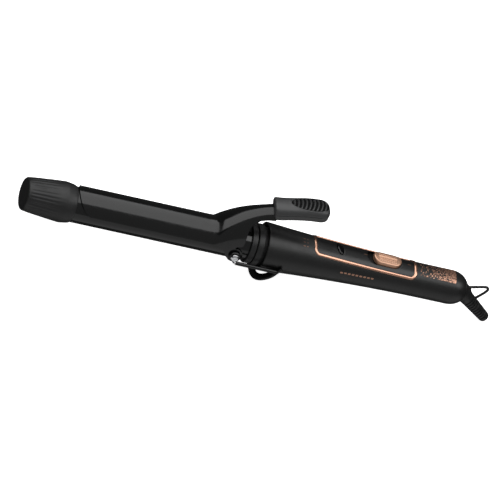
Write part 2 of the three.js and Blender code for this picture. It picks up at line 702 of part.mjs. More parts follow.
// Chassis, circuit board and what is on it.
function addElectrics() {
  const { front, back, halfWidth, floor, wall, seatZ } = chassis;
  const hollow = handleForm(-handle.wall - 0.5, front, back);
  const trough = block([front - 2, back - 2], [-halfWidth + wall, halfWidth - wall], [floor + 1.6, seatZ]);
  const tray = block([front, back], [-halfWidth, halfWidth], [floor, 0.4]).subtract(trough);
  const railX = [board.front - 6, back - 2];
  const railHeight = [-2, seatZ];
  const railWidth = halfWidth - wall - 0.2;
  const rails = [
    block(railX, [-halfWidth, -railWidth], railHeight),
    block(railX, [railWidth, halfWidth], railHeight),
  ];
  const screwRadius = 1;
  const bosses = board.screws.map((x) => uprightPin(x, 0, -4, seatZ, 2.6));
  const threads = board.screws.map((x) => uprightPin(x, 0, -3.2, seatZ + 1, screwRadius + 0.25));
  const frame = join(tray, ...rails, ...bosses).intersect(hollow);
  place("chassis", cut(frame, ...threads), materials.innerPlastic);

  const boardTop = board.z + board.thick;
  const plate = block([board.front, board.back], [-board.halfWidth, board.halfWidth], [board.z, boardTop]);
  const boardHoles = board.screws.map((x) => uprightPin(x, 0, 0, 6, screwRadius + 0.35));
  place("circuit_board", cut(plate, ...boardHoles), materials.boardGreen);
  const mounted = boardTop + GAP;
  for (const [i, name] of ["board_screw_front", "board_screw_rear"].entries()) {
    const x = board.screws[i];
    const head = uprightPin(x, 0, mounted, mounted + 1.4, 2.2);
    place(name, join(uprightPin(x, 0, -2.8, mounted + 0.4, screwRadius), head), materials.springSteel);
  }
  const bulb = uprightPin(lens.x, 0, mounted, mounted + 4.4, 1.6);
  const flange = uprightPin(lens.x, 0, mounted, mounted + 0.8, 2);
  place("indicator_led", join(bulb, flange), materials.ledEpoxy);

  const box = switchBox;
  const boxTop = mounted + box.height;
  const sliderBase = mounted + 1.6;
  const boxX = [button.x + box.front, button.x + box.back];
  const wellX = [button.x - box.sliderHalf - button.travel - 0.4, button.x + box.sliderHalf + 0.4];
  const well = block(wellX, [-1.6, 1.6], [sliderBase - 0.4, boxTop + 1]);
  const body = block(boxX, [-box.halfWidth, box.halfWidth], [mounted, boxTop]);
  place("switch_body", body.subtract(well), materials.innerPlastic);
  const sliderX = [button.x - box.sliderHalf, button.x + box.sliderHalf];
  const slider = block(sliderX, [-1.2, 1.2], [sliderBase, sliderBase + 3]);
  const forkGap = block([button.x - 2.8, button.x + 2.8], [-2, 2], [sliderBase + 2.2, boxTop + 2]);
  place("switch_slider", slider.subtract(forkGap), materials.ceramic);

  const terminals = block([front + 2, front + 14], [-6.2, 6.2], [floor + 1.9, seatZ]);
  place("terminal_block", terminals, materials.innerPlastic);
  const capacitor = block([80, 90], [-3, 3], [mounted, mounted + 3.6]);
  place("film_capacitor", capacitor, materials.brass);
}

// Turns a solid made along X onto the boot's line, which leaves the tail downwards.
function onBootLine(made) {
  return made.rotate([0, THREE.MathUtils.radToDeg(boot.angle), 0]).translate([swivel.centreX, 0, 0]);
}

// Hanging loop: a slim bail from the swivel's face round to the boot, with both ends sunk in.
function hangLoop(radius, sides) {
  const line = new THREE.CurvePath();
  const [start, upper, peak, lower, end] = [
    [170.4, 2.9],
    [183.2, 6.8],
    [187.6, 6.6],
    [185.2, 1.6],
    [180.4, -4.9],
  ].map(([x, z]) => new THREE.Vector3(x, 0, z));
  line.add(new THREE.LineCurve3(start, upper));
  line.add(new THREE.QuadraticBezierCurve3(upper, peak, lower));
  line.add(new THREE.LineCurve3(lower, end));
  return rod(line, radius, 16, sides);
}

// The cord's swivel: a head with two slip rings in a bush, spring brushes, boot and hanging loop.
function addSwivel() {
  const { openingRadius, shaftRadius, shaftFront, flangeFront } = swivel;
  const flangeRadius = seat.radius - 0.6;
  const flangeBack = seat.x - 0.4;
  const head = turned([
    [shaftFront, 0],
    [shaftFront, shaftRadius],
    [flangeFront - 0.8, shaftRadius],
    [flangeFront, flangeRadius],
    [flangeBack, flangeRadius],
    [flangeBack, openingRadius - GAP],
    [handle.back, openingRadius - GAP],
    [169.9, 6.8],
    [171.2, 5.2],
    [172.1, 2.8],
    [172.3, 0],
  ]);
  // the neck flares out of the tail and stays clear of the sleeve's rim as it turns
  const neckEnd = boot.start - GAP;
  const neckProfile = [[1, 0], [1, 6.6], [5, 6.5], [neckEnd, boot.rootRadius], [neckEnd, 0]];
  const neck = onBootLine(turned(neckProfile, 24));
  const outsideNeck = neck.subtract(tube(150, handle.back + GAP, openingRadius - GAP, 30));
  const plugHole = onBootLine(bar(1, 20, boot.plugRadius + 0.2, 24));
  const loopHole = hangLoop(loopRadius + 0.2, 8);
  place("swivel_head", cut(join(head, outsideNeck), plugHole, loopHole), materials.bootRubber);

  const bushRadius = handle.tailRadius - handle.wall - 0.4;
  place("swivel_bush", tube(152, 158.4, shaftRadius + GAP, bushRadius), materials.innerPlastic);
  const ringBore = shaftRadius + 0.1;
  for (const [i, name] of ["slip_ring_live", "slip_ring_neutral"].entries()) {
    const x = slipRing.front + i * slipRing.pitch;
    place(name, tube(x, x + slipRing.width, ringBore, ringBore + slipRing.thick, 32), materials.brass);
  }
  for (const [i, name] of ["brush_live", "brush_neutral"].entries()) {
    const x = slipRing.front + i * slipRing.pitch + 0.2;
    const side = i === 0 ? 1 : -1;
    const spring = new THREE.Shape();
    spring.moveTo(side * 5.3, 5);
    spring.lineTo(side * 5.8, 5);
    spring.lineTo(side * 5.8, -4.6);
    spring.lineTo(side * 7.4, -4.8);
    spring.lineTo(side * 7.4, -5.3);
    spring.lineTo(side * 5.3, -5.1);
    const strip = new THREE.ExtrudeGeometry(spring, { depth: 2, bevelEnabled: false });
    place(name, solid(strip.rotateY(Math.PI / 2).rotateX(Math.PI / 2).translate(x, 0, 0)), materials.brass);
  }

  // The boot is ribbed: shallow grooves leave it bendy behind its smooth root.
  const grooves = { first: 11.6, pitch: 2.3, count: 9, width: 0.9, depth: 0.8 };
  const { start, end, plugRadius, rootRadius, endRadius, boreRadius } = boot;
  const radiusAt = (d) => THREE.MathUtils.lerp(rootRadius, endRadius, (d - start) / (end - start));
  const profile = [[1.6, boreRadius], [1.6, plugRadius], [start, plugRadius], [start, rootRadius]];
  for (let i = 0; i < grooves.count; i++) {
    const d = grooves.first + i * grooves.pitch;
    const radius = radiusAt(d);
    const floor = radius - grooves.depth;
    profile.push([d, radius], [d + 0.15, floor]);
    profile.push([d + grooves.width - 0.15, floor], [d + grooves.width, radius]);
  }
  profile.push([end - 1.6, endRadius], [end - 0.5, endRadius - 0.5]);
  profile.push([end, endRadius - 1.2], [end, boreRadius - 0.2], [1.6, boreRadius]);
  place("cord_boot", cut(onBootLine(turned(profile, 20)), loopHole), materials.bootRubber);
  place("hang_loop", hangLoop(loopRadius, 8), materials.bootRubber);
}

// Fold-out stand: a spring wire with an eye round each screw, and a moulded foot on its cross part.
function addStand() {
  const { wireRadius, eyeRadius, eyeY, armEnd, halfWidth, footLean, footDepth, footRadius } = stand;
  const armZ = pivot.z - eyeRadius;
  const bent = (value) => Math.sign(value) * Math.abs(value) ** (2 / stand.footBend);
  const footAt = (angle) => {
    const depth = footDepth * bent(Math.sin(angle));
    return new THREE.Vector3(
      armEnd - depth * Math.sin(footLean),
      -halfWidth * bent(Math.cos(angle)),
      armZ - depth * Math.cos(footLean),
    );
  };
  const footPoints = Array.from({ length: 9 }, (_, i) => footAt((Math.PI * (i + 1)) / 10));
  const splayed = THREE.MathUtils.lerp(eyeY, halfWidth, 0.7);
  const arm = [
    new THREE.Vector3(0, -eyeY, armZ),
    new THREE.Vector3(armEnd * 0.6, -splayed, armZ),
    new THREE.Vector3(armEnd - 1.6, -halfWidth, armZ),
  ];
  const otherArm = arm.map((point) => new THREE.Vector3(point.x, -point.y, point.z)).reverse();
  const wireLine = new THREE.CatmullRomCurve3([...arm, ...footPoints, ...otherArm], false, "centripetal");
  const eyes = [-eyeY, eyeY].map((y) => {
    const ring = new THREE.TorusGeometry(eyeRadius, wireRadius, 8, 20).rotateX(Math.PI / 2);
    return solid(ring.translate(0, y, pivot.z));
  });
  place("stand_wire", join(rod(wireLine, wireRadius, 44, 8), ...eyes), materials.wireCoat);

  const footLine = new THREE.CatmullRomCurve3([arm[2], ...footPoints, otherArm[0]], false, "centripetal");
  const bore = rod(wireLine, wireRadius + 0.2, 44, 8);
  place("stand_foot", rod(footLine, footRadius, 20, 10).subtract(bore), materials.bootRubber);
}

addBarrel();
addHeater();
addPivot();
addCollar();
addHandle();
addPanel();
addElectrics();
addClip();
addThumbPad();
addClipSpring();
addStand();
addSwivel();

const bounds = new THREE.Box3().setFromObject(iron);
const middle = bounds.getCenter(new THREE.Vector3());
iron.position.set(-middle.x, 0, -bounds.min.z);
const model = new THREE.Group();
model.add(iron);

export default model;
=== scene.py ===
import math
import random

import bmesh
import bpy
from mathutils import Matrix, Vector
from mathutils.geometry import delaunay_2d_cdt
from mathutils.kdtree import KDTree


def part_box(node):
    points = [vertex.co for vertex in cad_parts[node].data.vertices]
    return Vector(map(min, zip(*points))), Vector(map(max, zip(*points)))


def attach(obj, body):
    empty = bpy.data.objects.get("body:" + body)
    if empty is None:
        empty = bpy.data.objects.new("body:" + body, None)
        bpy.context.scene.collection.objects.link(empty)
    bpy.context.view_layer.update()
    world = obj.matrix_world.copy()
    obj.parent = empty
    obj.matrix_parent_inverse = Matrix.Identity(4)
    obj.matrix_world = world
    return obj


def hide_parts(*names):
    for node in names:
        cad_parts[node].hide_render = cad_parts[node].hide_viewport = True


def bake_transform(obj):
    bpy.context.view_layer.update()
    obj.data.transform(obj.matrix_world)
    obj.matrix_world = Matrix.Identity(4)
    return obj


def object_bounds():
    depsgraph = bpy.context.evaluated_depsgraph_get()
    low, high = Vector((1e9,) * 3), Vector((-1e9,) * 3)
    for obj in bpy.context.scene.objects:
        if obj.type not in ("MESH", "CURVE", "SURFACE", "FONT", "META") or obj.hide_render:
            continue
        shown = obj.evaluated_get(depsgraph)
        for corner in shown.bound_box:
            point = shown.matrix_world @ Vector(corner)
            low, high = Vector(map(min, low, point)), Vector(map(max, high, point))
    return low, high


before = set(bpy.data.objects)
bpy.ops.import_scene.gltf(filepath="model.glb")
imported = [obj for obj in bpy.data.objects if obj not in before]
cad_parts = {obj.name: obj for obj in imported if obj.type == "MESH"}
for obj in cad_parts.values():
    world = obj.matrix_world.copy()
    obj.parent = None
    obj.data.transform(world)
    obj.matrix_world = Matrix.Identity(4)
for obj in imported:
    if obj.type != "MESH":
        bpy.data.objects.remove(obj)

cadLow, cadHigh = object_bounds()
scene = bpy.context.scene
mm = 0.001

# everything is drawn in millimetres from the hinge line: x runs to the cord, z to the lever
barrelLow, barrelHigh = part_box("barrel")
pinLow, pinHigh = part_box("pivot_pin")
axisZ = (barrelLow.z + barrelHigh.z) / 2
hingeX = (pinLow.x + pinHigh.x) / 2
hingeZ = ((pinLow.z + pinHigh.z) / 2 - axisZ) / mm
barrelRadius = (barrelHigh.y - barrelLow.y) / 2 / mm


def inFrame(x, y, z):
    return Vector((hingeX + x * mm, y * mm, axisZ + z * mm))


def lengthOf(node):
    low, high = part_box(node)
    return (low.x - hingeX) / mm, (high.x - hingeX) / mm


def mix(a, b, t):
    return a + (b - a) * t


def ease(t):
    t = min(1, max(0, t))
    return t * t * (3 - 2 * t)


print("frame loaded:", len(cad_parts), "nodes")

# each finish: base colour, roughness range, and grain as (fineness, height in mm); the optional
# entries are metal, shine, fleck (mineral flecks), wear (rubbed edges) and weave (a braided sleeve)
tones = {
    "barrelCoat": {"colour": (0.0042, 0.0045, 0.0045), "rough": (0.11, 0.17),
        "grain": (2600, 0.0012), "fleck": 0.03},
    "clipCoat": {"colour": (0.0042, 0.0045, 0.0045), "rough": (0.11, 0.17),
        "grain": (2600, 0.0012), "fleck": 0.03},
    # painted shade: a darker colour for the clip's inner side and cut edges, in place of the gap's shadow
    # line
    "sheetEdgeShade": {"colour": (0.002, 0.002, 0.002), "rough": (0.5, 0.65),
        "grain": (2000, 0.004), "shine": 0.15},
    "tipPlastic": {"colour": (0.0085, 0.0087, 0.009), "rough": (0.42, 0.56), "grain": (2200, 0.006)},
    "softTouch": {"colour": (0.0065, 0.0066, 0.0066), "rough": (0.36, 0.45),
        "grain": (3000, 0.003), "wear": 0.4},
    "collarPlastic": {"colour": (0.009, 0.0093, 0.0095), "rough": (0.42, 0.55), "grain": (2200, 0.005)},
    "padPlastic": {"colour": (0.042, 0.0428, 0.0435), "rough": (0.34, 0.42),
        "grain": (2400, 0.004), "wear": 0.4},
    "gripGroove": {"colour": (0.0025, 0.0025, 0.0026), "rough": (0.6, 0.75),
        "grain": (1800, 0.006), "shine": 0.15},
    "gripRubber": {"colour": (0.03, 0.0304, 0.031), "rough": (0.34, 0.44), "grain": (1800, 0.008)},
    "panelPlastic": {"colour": (0.0045, 0.0046, 0.0048), "rough": (0.27, 0.33), "grain": (2600, 0.0015)},
    # painted shade: a near-black, dull colour for the sheet under the button's slot
    "slotPaintedShade": {"colour": (0.002, 0.002, 0.002), "rough": (0.5, 0.7),
        "grain": (1500, 0.005), "shine": 0.2},
    "roseGold": {"colour": (0.66, 0.37, 0.26), "rough": (0.2, 0.3), "grain": (3200, 0.002), "metal": 1.0},
    "buttonGold": {"colour": (0.6, 0.35, 0.235), "rough": (0.3, 0.4),
        "grain": (3000, 0.004), "metal": 0.7},
    "mosaicGold": {"colour": (0.56, 0.31, 0.215), "rough": (0.3, 0.45),
        "grain": (2800, 0.003), "metal": 0.85},
    "mosaicDeep": {"colour": (0.19, 0.102, 0.07), "rough": (0.34, 0.48),
        "grain": (2800, 0.003), "metal": 0.7},
    "lensPlastic": {"colour": (0.0015, 0.0016, 0.002), "rough": (0.03, 0.07), "grain": (800, 0.0008)},
    "chrome": {"colour": (0.84, 0.85, 0.86), "rough": (0.1, 0.18), "grain": (2400, 0.001), "metal": 1.0},
    "wireCoat": {"colour": (0.0035, 0.0035, 0.0037), "rough": (0.17, 0.26), "grain": (1800, 0.003)},
    "bootRubber": {"colour": (0.007, 0.0071, 0.0072), "rough": (0.36, 0.48), "grain": (1600, 0.006)},
    "aluminium": {"colour": (0.6, 0.61, 0.62), "rough": (0.3, 0.45), "grain": (900, 0.004), "metal": 1.0},
    "ceramic": {"colour": (0.66, 0.6, 0.49), "rough": (0.45, 0.6), "grain": (1400, 0.006)},
    "brass": {"colour": (0.62, 0.42, 0.16), "rough": (0.25, 0.4), "grain": (1500, 0.003), "metal": 1.0},
    "springSteel": {"colour": (0.36, 0.37, 0.38), "rough": (0.22, 0.36),
        "grain": (1800, 0.003), "metal": 1.0},
    "boardGreen": {"colour": (0.02, 0.13, 0.045), "rough": (0.3, 0.45), "grain": (1500, 0.004)},
    "innerPlastic": {"colour": (0.05, 0.05, 0.052), "rough": (0.45, 0.6), "grain": (1500, 0.005)},
    "ledRed": {"colour": (0.42, 0.03, 0.02), "rough": (0.1, 0.2), "grain": (900, 0.001)},
    "leadSleeve": {"colour": (0.62, 0.59, 0.52), "rough": (0.6, 0.8),
        "grain": (900, 0.03), "weave": 1400},
    "floorPaper": {"colour": (0.9, 0.9, 0.9), "rough": (0.7, 0.85), "grain": (60, 0.002)},
}
finishes = {}


def finish(name):
    if name in finishes:
        return finishes[name]
    tone = tones[name]
    made = bpy.data.materials.new(name)
    made.use_nodes = True
    tree = made.node_tree
    nodes, link = tree.nodes, tree.links.new
    shader = nodes["Principled BSDF"]
    shader.inputs["Metallic"].default_value = tone.get("metal", 0.0)
    shader.inputs["Specular IOR Level"].default_value = tone.get("shine", 0.5)
    place = nodes.new("ShaderNodeTexCoord").outputs["Object"]

    def noise(scale, detail=3.0):
        made = nodes.new("ShaderNodeTexNoise")
        made.inputs["Scale"].default_value = scale
        made.inputs["Detail"].default_value = detail
        link(place, made.inputs["Vector"])
        return made.outputs["Fac"]

    # slow drift in colour, like a moulding or a sprayed coat
    drift = nodes.new("ShaderNodeMix")
    drift.data_type = "RGBA"
    drift.inputs["A"].default_value = (*[c * 0.86 for c in tone["colour"]], 1)
    drift.inputs["B"].default_value = (*[min(1, c * 1.14) for c in tone["colour"]], 1)
    link(noise(95), drift.inputs["Factor"])
    colour = drift.outputs["Result"]
    if "fleck" in tone:  # fine mineral flecks in the heat-proof coat
        cells = nodes.new("ShaderNodeTexVoronoi")
        cells.inputs["Scale"].default_value = 2300
        link(place, cells.inputs["Vector"])
        near = nodes.new("ShaderNodeMapRange")
        near.inputs["From Min"].default_value = 0.16
        near.inputs["From Max"].default_value = 0.06
        link(cells.outputs["Distance"], near.inputs["Value"])
        flecked = nodes.new("ShaderNodeMix")
        flecked.data_type = "RGBA"
        link(near.outputs["Result"], flecked.inputs["Factor"])
        link(colour, flecked.inputs["A"])
        flecked.inputs["B"].default_value = (tone["fleck"], tone["fleck"], tone["fleck"], 1)
        colour = flecked.outputs["Result"]
    if "wear" in tone:  # edges rubbed a little paler by the hand
        edge = nodes.new("ShaderNodeMapRange")
        edge.inputs["From Min"].default_value = 0.52
        edge.inputs["From Max"].default_value = 0.62
        edge.inputs["To Max"].default_value = tone["wear"]
        link(nodes.new("ShaderNodeNewGeometry").outputs["Pointiness"], edge.inputs["Value"])
        rubbed = nodes.new("ShaderNodeMix")
        rubbed.data_type = "RGBA"
        link(edge.outputs["Result"], rubbed.inputs["Factor"])
        link(colour, rubbed.inputs["A"])
        rubbed.inputs["B"].default_value = (*[min(1, c * 2.2) for c in tone["colour"]], 1)
        colour = rubbed.outputs["Result"]
    link(colour, shader.inputs["Base Color"])

    # handling leaves the gloss uneven
    sheen = nodes.new("ShaderNodeMapRange")
    sheen.inputs["From Min"].default_value = 0.32
    sheen.inputs["From Max"].default_value = 0.68
    sheen.inputs["To Min"].default_value = tone["rough"][0]
    sheen.inputs["To Max"].default_value = tone["rough"][1]
    link(noise(140, 5.0), sheen.inputs["Value"])
    link(sheen.outputs["Result"], shader.inputs["Roughness"])

    bump = nodes.new("ShaderNodeBump")
    bump.inputs["Strength"].default_value = 0.5
    bump.inputs["Distance"].default_value = tone["grain"][1] * mm * 4
    link(noise(tone["grain"][0], 2.0), bump.inputs["Height"])
    if "weave" in tone:
        braid = nodes.new("ShaderNodeTexWave")
        braid.wave_type = "BANDS"
        braid.bands_direction = "DIAGONAL"
        braid.inputs["Scale"].default_value = tone["weave"]
        link(place, braid.inputs["Vector"])
        link(braid.outputs["Fac"], bump.inputs["Height"])
    link(bump.outputs["Normal"], shader.inputs["Normal"])
    finishes[name] = made
    return made


# the CAD pieces inside that stay as they are
innerFinish = {
    "tip_plug": "ceramic", "heater_block_upper": "aluminium", "heater_block_lower": "aluminium",
    "ceramic_heater": "ceramic", "contact_plate_upper": "brass", "contact_plate_lower": "brass",
    "heater_lead_live": "leadSleeve", "heater_lead_neutral": "leadSleeve", "thermal_fuse": "chrome",
    "pivot_pin": "springSteel", "chassis": "innerPlastic", "circuit_board": "boardGreen",
    "board_screw_front": "springSteel", "board_screw_rear": "springSteel", "indicator_led": "ledRed",
    "switch_body": "innerPlastic", "switch_slider": "ceramic", "terminal_block": "innerPlastic",
    "film_capacitor": "brass", "pad_rivet": "chrome", "swivel_bush": "innerPlastic",
    "slip_ring_live": "brass", "slip_ring_neutral": "brass", "brush_live": "brass", "brush_neutral": "brass",
}
for node, name in innerFinish.items():
    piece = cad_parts[node]
    piece.data.materials.clear()
    piece.data.materials.append(finish(name))
print("inner pieces finished:", len(innerFinish))


# a mesh from points in millimetres, riding on a body; stands names the CAD nodes it takes over
def addPiece(name, shape, look, body, stands=(), crease=38):
    verts, faces = shape
    mesh = bpy.data.meshes.new(name)
    mesh.from_pydata([inFrame(*v) for v in verts], [], faces)
    work = bmesh.new()
    work.from_mesh(mesh)
    bmesh.ops.remove_doubles(work, verts=work.verts, dist=1e-7)
    bmesh.ops.recalc_face_normals(work, faces=work.faces)
    work.to_mesh(mesh)
    work.free()
    mesh.shade_smooth()
    mesh.set_sharp_from_angle(angle=math.radians(crease))
    mesh.materials.append(finish(look))
    piece = bpy.data.objects.new(name, mesh)
    scene.collection.objects.link(piece)
    if body:
        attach(piece, body)
    if stands:
        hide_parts(*stands)
    return piece


def carve(piece, shape, how="DIFFERENCE", crease=38):
    cutter = addPiece("cutter", shape, "slotPaintedShade", "iron")
    cut = piece.modifiers.new("cut", "BOOLEAN")
    cut.operation = how
    cut.solver = "EXACT"
    cut.object = cutter
    bpy.context.view_layer.update()
    evaluated = piece.evaluated_get(bpy.context.evaluated_depsgraph_get())
    result = bpy.data.meshes.new_from_object(evaluated)
    piece.modifiers.clear()
    piece.data = result
    look = result.materials[0]
    result.materials.clear()
    result.materials.append(look)
    for face in result.polygons:
        face.material_index = 0
    result.shade_smooth()
    result.set_sharp_from_angle(angle=math.radians(crease))
    bpy.data.objects.remove(cutter)
    return piece


# corners of an outline rounded into arcs: each point is (a, b) or (a, b, radius)
def rounded(points, steps=6, closed=False):
    out = []
    count = len(points)
    for i, point in enumerate(points):
        here = Vector(point[:2])
        radius = point[2] if len(point) > 2 else 0
        if radius <= 0 or (not closed and i in (0, count - 1)):
            out.append(tuple(here))
            continue
        back = (Vector(points[i - 1][:2]) - here)
        ahead = (Vector(points[(i + 1) % count][:2]) - here)
        u, v = back.normalized(), ahead.normalized()
        turn = math.acos(max(-1, min(1, u.dot(v))))
        reach = min(radius / math.tan(turn / 2), back.length * 0.49, ahead.length * 0.49)
        for k in range(steps + 1):
            t = k / steps
            start, end = here + u * reach, here + v * reach
            out.append(tuple(start * (1 - t) ** 2 + here * 2 * t * (1 - t) + end * t * t))
    return out


# a profile of (x, radius) turned about the x axis; closed joins the last point to the first
def turned(profile, facets=144, closed=False, shape=None):
    verts, rings = [], []
    for x, radius in profile:
        if radius < 1e-4:
            rings.append([len(verts)])
            verts.append((x, 0, 0))
            continue
        rings.append(list(range(len(verts), len(verts) + facets)))
        for k in range(facets):
            angle = 2 * math.pi * k / facets
            r = shape(x, radius, angle) if shape else radius
            verts.append((x, r * math.sin(angle), r * math.cos(angle)))
    faces = []
    pairs = list(zip(rings, rings[1:]))
    if closed:
        pairs.append((rings[-1], rings[0]))
    for a, b in pairs:
        for k in range(facets):
            n = (k + 1) % facets
            if len(a) == 1 and len(b) == 1:
                break
            if len(a) == 1:
                faces.append((a[0], b[n], b[k]))
            elif len(b) == 1:
                faces.append((a[k], a[n], b[0]))
            else:
                faces.append((a[k], a[n], b[n], b[k]))
    return verts, faces


def moved(shape, matrix):
    verts, faces = shape
    return [tuple(matrix @ Vector(v)) for v in verts], faces


def joined(*shapes):
    verts, faces = [], []
    for v, f in shapes:
        start = len(verts)
        verts += v
        faces += [tuple(i + start for i in face) for face in f]
    return verts, faces


# closed body through rings of equal count
def lofted(rings):
    count = len(rings[0])
    verts = [p for ring in rings for p in ring]
    faces = []
    for i in range(len(rings) - 1):
        for k in range(count):
            n = (k + 1) % count
            faces.append((i * count + k, i * count + n, (i + 1) * count + n, (i + 1) * count + k))
    faces.append(tuple(range(count))[::-1])
    faces.append(tuple(range((len(rings) - 1) * count, len(rings) * count)))
    return verts, faces


# smooth line through given points
def smoothLine(points, perSpan=8):
    pts = [Vector(p) for p in points]
    out = []
    for i in range(len(pts) - 1):
        p0 = pts[i - 1] if i else pts[0] * 2 - pts[1]
        p3 = pts[i + 2] if i + 2 < len(pts) else pts[-1] * 2 - pts[-2]
        for k in range(perSpan):
            t = k / perSpan
            a = (pts[i + 1] - p0) * 0.5
            b = (p3 - pts[i]) * 0.5
            d = pts[i + 1] - pts[i]
            out.append(pts[i] + a * t + (3 * d - 2 * a - b) * t * t + (a + b - 2 * d) * t ** 3)
    out.append(pts[-1])
    return out


# round rod along a line; radius may change with the share of the way along
def rod(line, radius, sides=20):
    line = [Vector(p) for p in line]
    rings = []
    side = Vector((0, 1, 0)) if abs((line[1] - line[0]).normalized().y) < 0.9 else Vector((1, 0, 0))
    for i, point in enumerate(line):
        ahead = (line[min(i + 1, len(line) - 1)] - line[max(i - 1, 0)]).normalized()
        side = (side - ahead * side.dot(ahead)).normalized()
        other = ahead.cross(side)
        r = radius(i / (len(line) - 1)) if callable(radius) else radius
        rings.append([
            tuple(point + side * r * math.cos(2 * math.pi * k / sides)
                  + other * r * math.sin(2 * math.pi * k / sides))
            for k in range(sides)
        ])
    return lofted(rings)


# rounded rectangle and stadium outlines in plan, grown or shrunk by inset
def planBox(x0, x1, half, corner, steps=10):
    def outline(inset=0.0):
        r = max(0.05, corner - inset)
        a, b, h = x0 + inset, x1 - inset, half - inset
        out = []
        corners = ((b - r, -h + r, -90), (b - r, h - r, 0), (a + r, h - r, 90), (a + r, -h + r, 180))
        for cx, cy, start in corners:
            for k in range(steps + 1):
                angle = math.radians(start + 90 * k / steps)
                out.append((cx + r * math.cos(angle), cy + r * math.sin(angle)))
        return out
    return outline


def planOval(x, y, halfLength, halfWidth, lean=0.0, count=64):
    def outline(inset=0.0):
        out = []
        for k in range(count):
            angle = 2 * math.pi * k / count
            a = (halfLength - inset) * math.cos(angle)
            b = (halfWidth - inset) * math.sin(angle)
            out.append((x + a * math.cos(lean) - b * math.sin(lean),
                        y + a * math.sin(lean) + b * math.cos(lean)))
        return out
    return outline


def within(point, outline):
    inside = False
    for (x0, y0), (x1, y1) in zip(outline, outline[1:] + outline[:1]):
        if (y0 > point[1]) != (y1 > point[1]) and point[0] < (x1 - x0) * (point[1] - y0) / (y1 - y0) + x0:
            inside = not inside
    return inside


# a plate that lies on a curved face: height(x, y, lift) gives its z; edges are rounded by edge
def facePlate(outline, height, top, bottom, edge, holes=(), pitch=1.2, relief=None):
    lift = (lambda x, y: top + relief(x, y)) if relief else (lambda x, y: top)
    inner = outline(edge)
    innerHoles = [hole(-edge) for hole in holes]
    points, edges = [], []
    for loop in [inner, *innerHoles]:
        start = len(points)
        points += [Vector(p) for p in loop]
        edges += [(start + i, start + (i + 1) % len(loop)) for i in range(len(loop))]
    shrunk = outline(edge + pitch * 0.4)
    grown = [hole(-edge - pitch * 0.4) for hole in holes]
    xs, ys = [p[0] for p in inner], [p[1] for p in inner]
    columns = int((max(xs) - min(xs)) / pitch) + 1
    rows = int((max(ys) - min(ys)) / pitch) + 1
    for i in range(columns + 1):
        for j in range(rows + 1):
            p = (mix(min(xs), max(xs), i / columns), mix(min(ys), max(ys), j / rows))
            if within(p, shrunk) and not any(within(p, hole) for hole in grown):
                points.append(Vector(p))
    flat, _, triangles, *_ = delaunay_2d_cdt(points, edges, [], 1, 1e-5)
    kept = []
    for triangle in triangles:
        middle = sum((flat[i] for i in triangle), Vector((0, 0))) / 3
        if within(middle, inner) and not any(within(middle, hole) for hole in innerHoles):
            kept.append(tuple(triangle))
    verts = [(p.x, p.y, height(p.x, p.y, lift(p.x, p.y))) for p in flat]
    faces = list(kept)
    under = len(verts)
    verts += [(p.x, p.y, height(p.x, p.y, bottom)) for p in flat]
    faces += [tuple(under + i for i in reversed(t)) for t in kept]
    flatSpots = KDTree(len(flat))
    for i, p in enumerate(flat):
        flatSpots.insert((p.x, p.y, 0), i)
    flatSpots.balance()
    for shapeAt, sign in [(outline, 1), *[(hole, -1) for hole in holes]]:
        rim = [flatSpots.find((x, y, 0))[1] for x, y in shapeAt(edge * sign)]
        rows = [rim]
        for k in range(1, 5):
            angle = math.pi / 2 * k / 4
            loop = shapeAt(sign * edge * (1 - math.sin(angle)))
            drop = edge * (1 - math.cos(angle))
            rows.append(list(range(len(verts), len(verts) + len(loop))))
            verts += [(x, y, height(x, y, lift(x, y) - drop)) for x, y in loop]
        loop = shapeAt(0)
        rows.append(list(range(len(verts), len(verts) + len(loop))))
        verts += [(x, y, height(x, y, bottom + edge * 0.5)) for x, y in loop]
        rows.append([under + i for i in rim])
        for a, b in zip(rows, rows[1:]):
            for i in range(len(a)):
                n = (i + 1) % len(a)
                faces.append((a[i], a[n], b[n], b[i]))
    return verts, faces


# cool tip: a fluted cap, fullest near its back, over the open end of the barrel
tip = {
    "faceRadius": 11.6,
    "widest": 14.35,
    "widestAt": -127.5,
    "flutes": 32,
    "fluteDepth": 0.26,
    "fluteFrom": -152.5,
    "fluteTo": -139,
}
tipFace, tipBack = lengthOf("cool_tip")
barrelFront, barrelBack = lengthOf("barrel")


def fluted(x, radius, angle):
    fade = ease((x - tip["fluteFrom"]) / 2.5) * (1 - ease((x - tip["fluteTo"]) / 12))
    if radius < tip["faceRadius"] * 0.9:
        return radius
    return radius - tip["fluteDepth"] * fade * (0.5 + 0.5 * math.cos(tip["flutes"] * angle))


tipLine = rounded([
    (tipFace, 0),
    (tipFace, tip["faceRadius"] - 0.1, 2.3),
    (tipFace + 6, tip["faceRadius"] + 0.75, 3),
    (tip["widestAt"] - 5, tip["widest"] - 0.5, 12),
    (tip["widestAt"] + 2, tip["widest"] + 0.02, 8),
    (tip["widestAt"] + 6.6, tip["widest"] - 0.7, 6),
    (tipBack - 0.9, barrelRadius + 0.8, 1.6),
    (tipBack, barrelRadius + 0.35, 0.3),
    (tipBack, barrelRadius + 0.05),
], 8)
tipProfile = []
for (x0, r0), (x1, r1) in zip(tipLine, tipLine[1:]):  # close enough steps for the flutes to fade along
    steps = max(1, int(abs(x1 - x0) / 1.5))
    tipProfile += [(mix(x0, x1, k / steps), mix(r0, r1, k / steps)) for k in range(steps)]
tipProfile += [tipLine[-1], (tipBack - 3, barrelRadius + 0.05), (tipBack - 3, 0)]
tipFacets = 11 * tip["flutes"]
addPiece("tipShell", turned(tipProfile, tipFacets, shape=fluted), "tipPlastic", "iron",
         ["cool_tip"], 30)

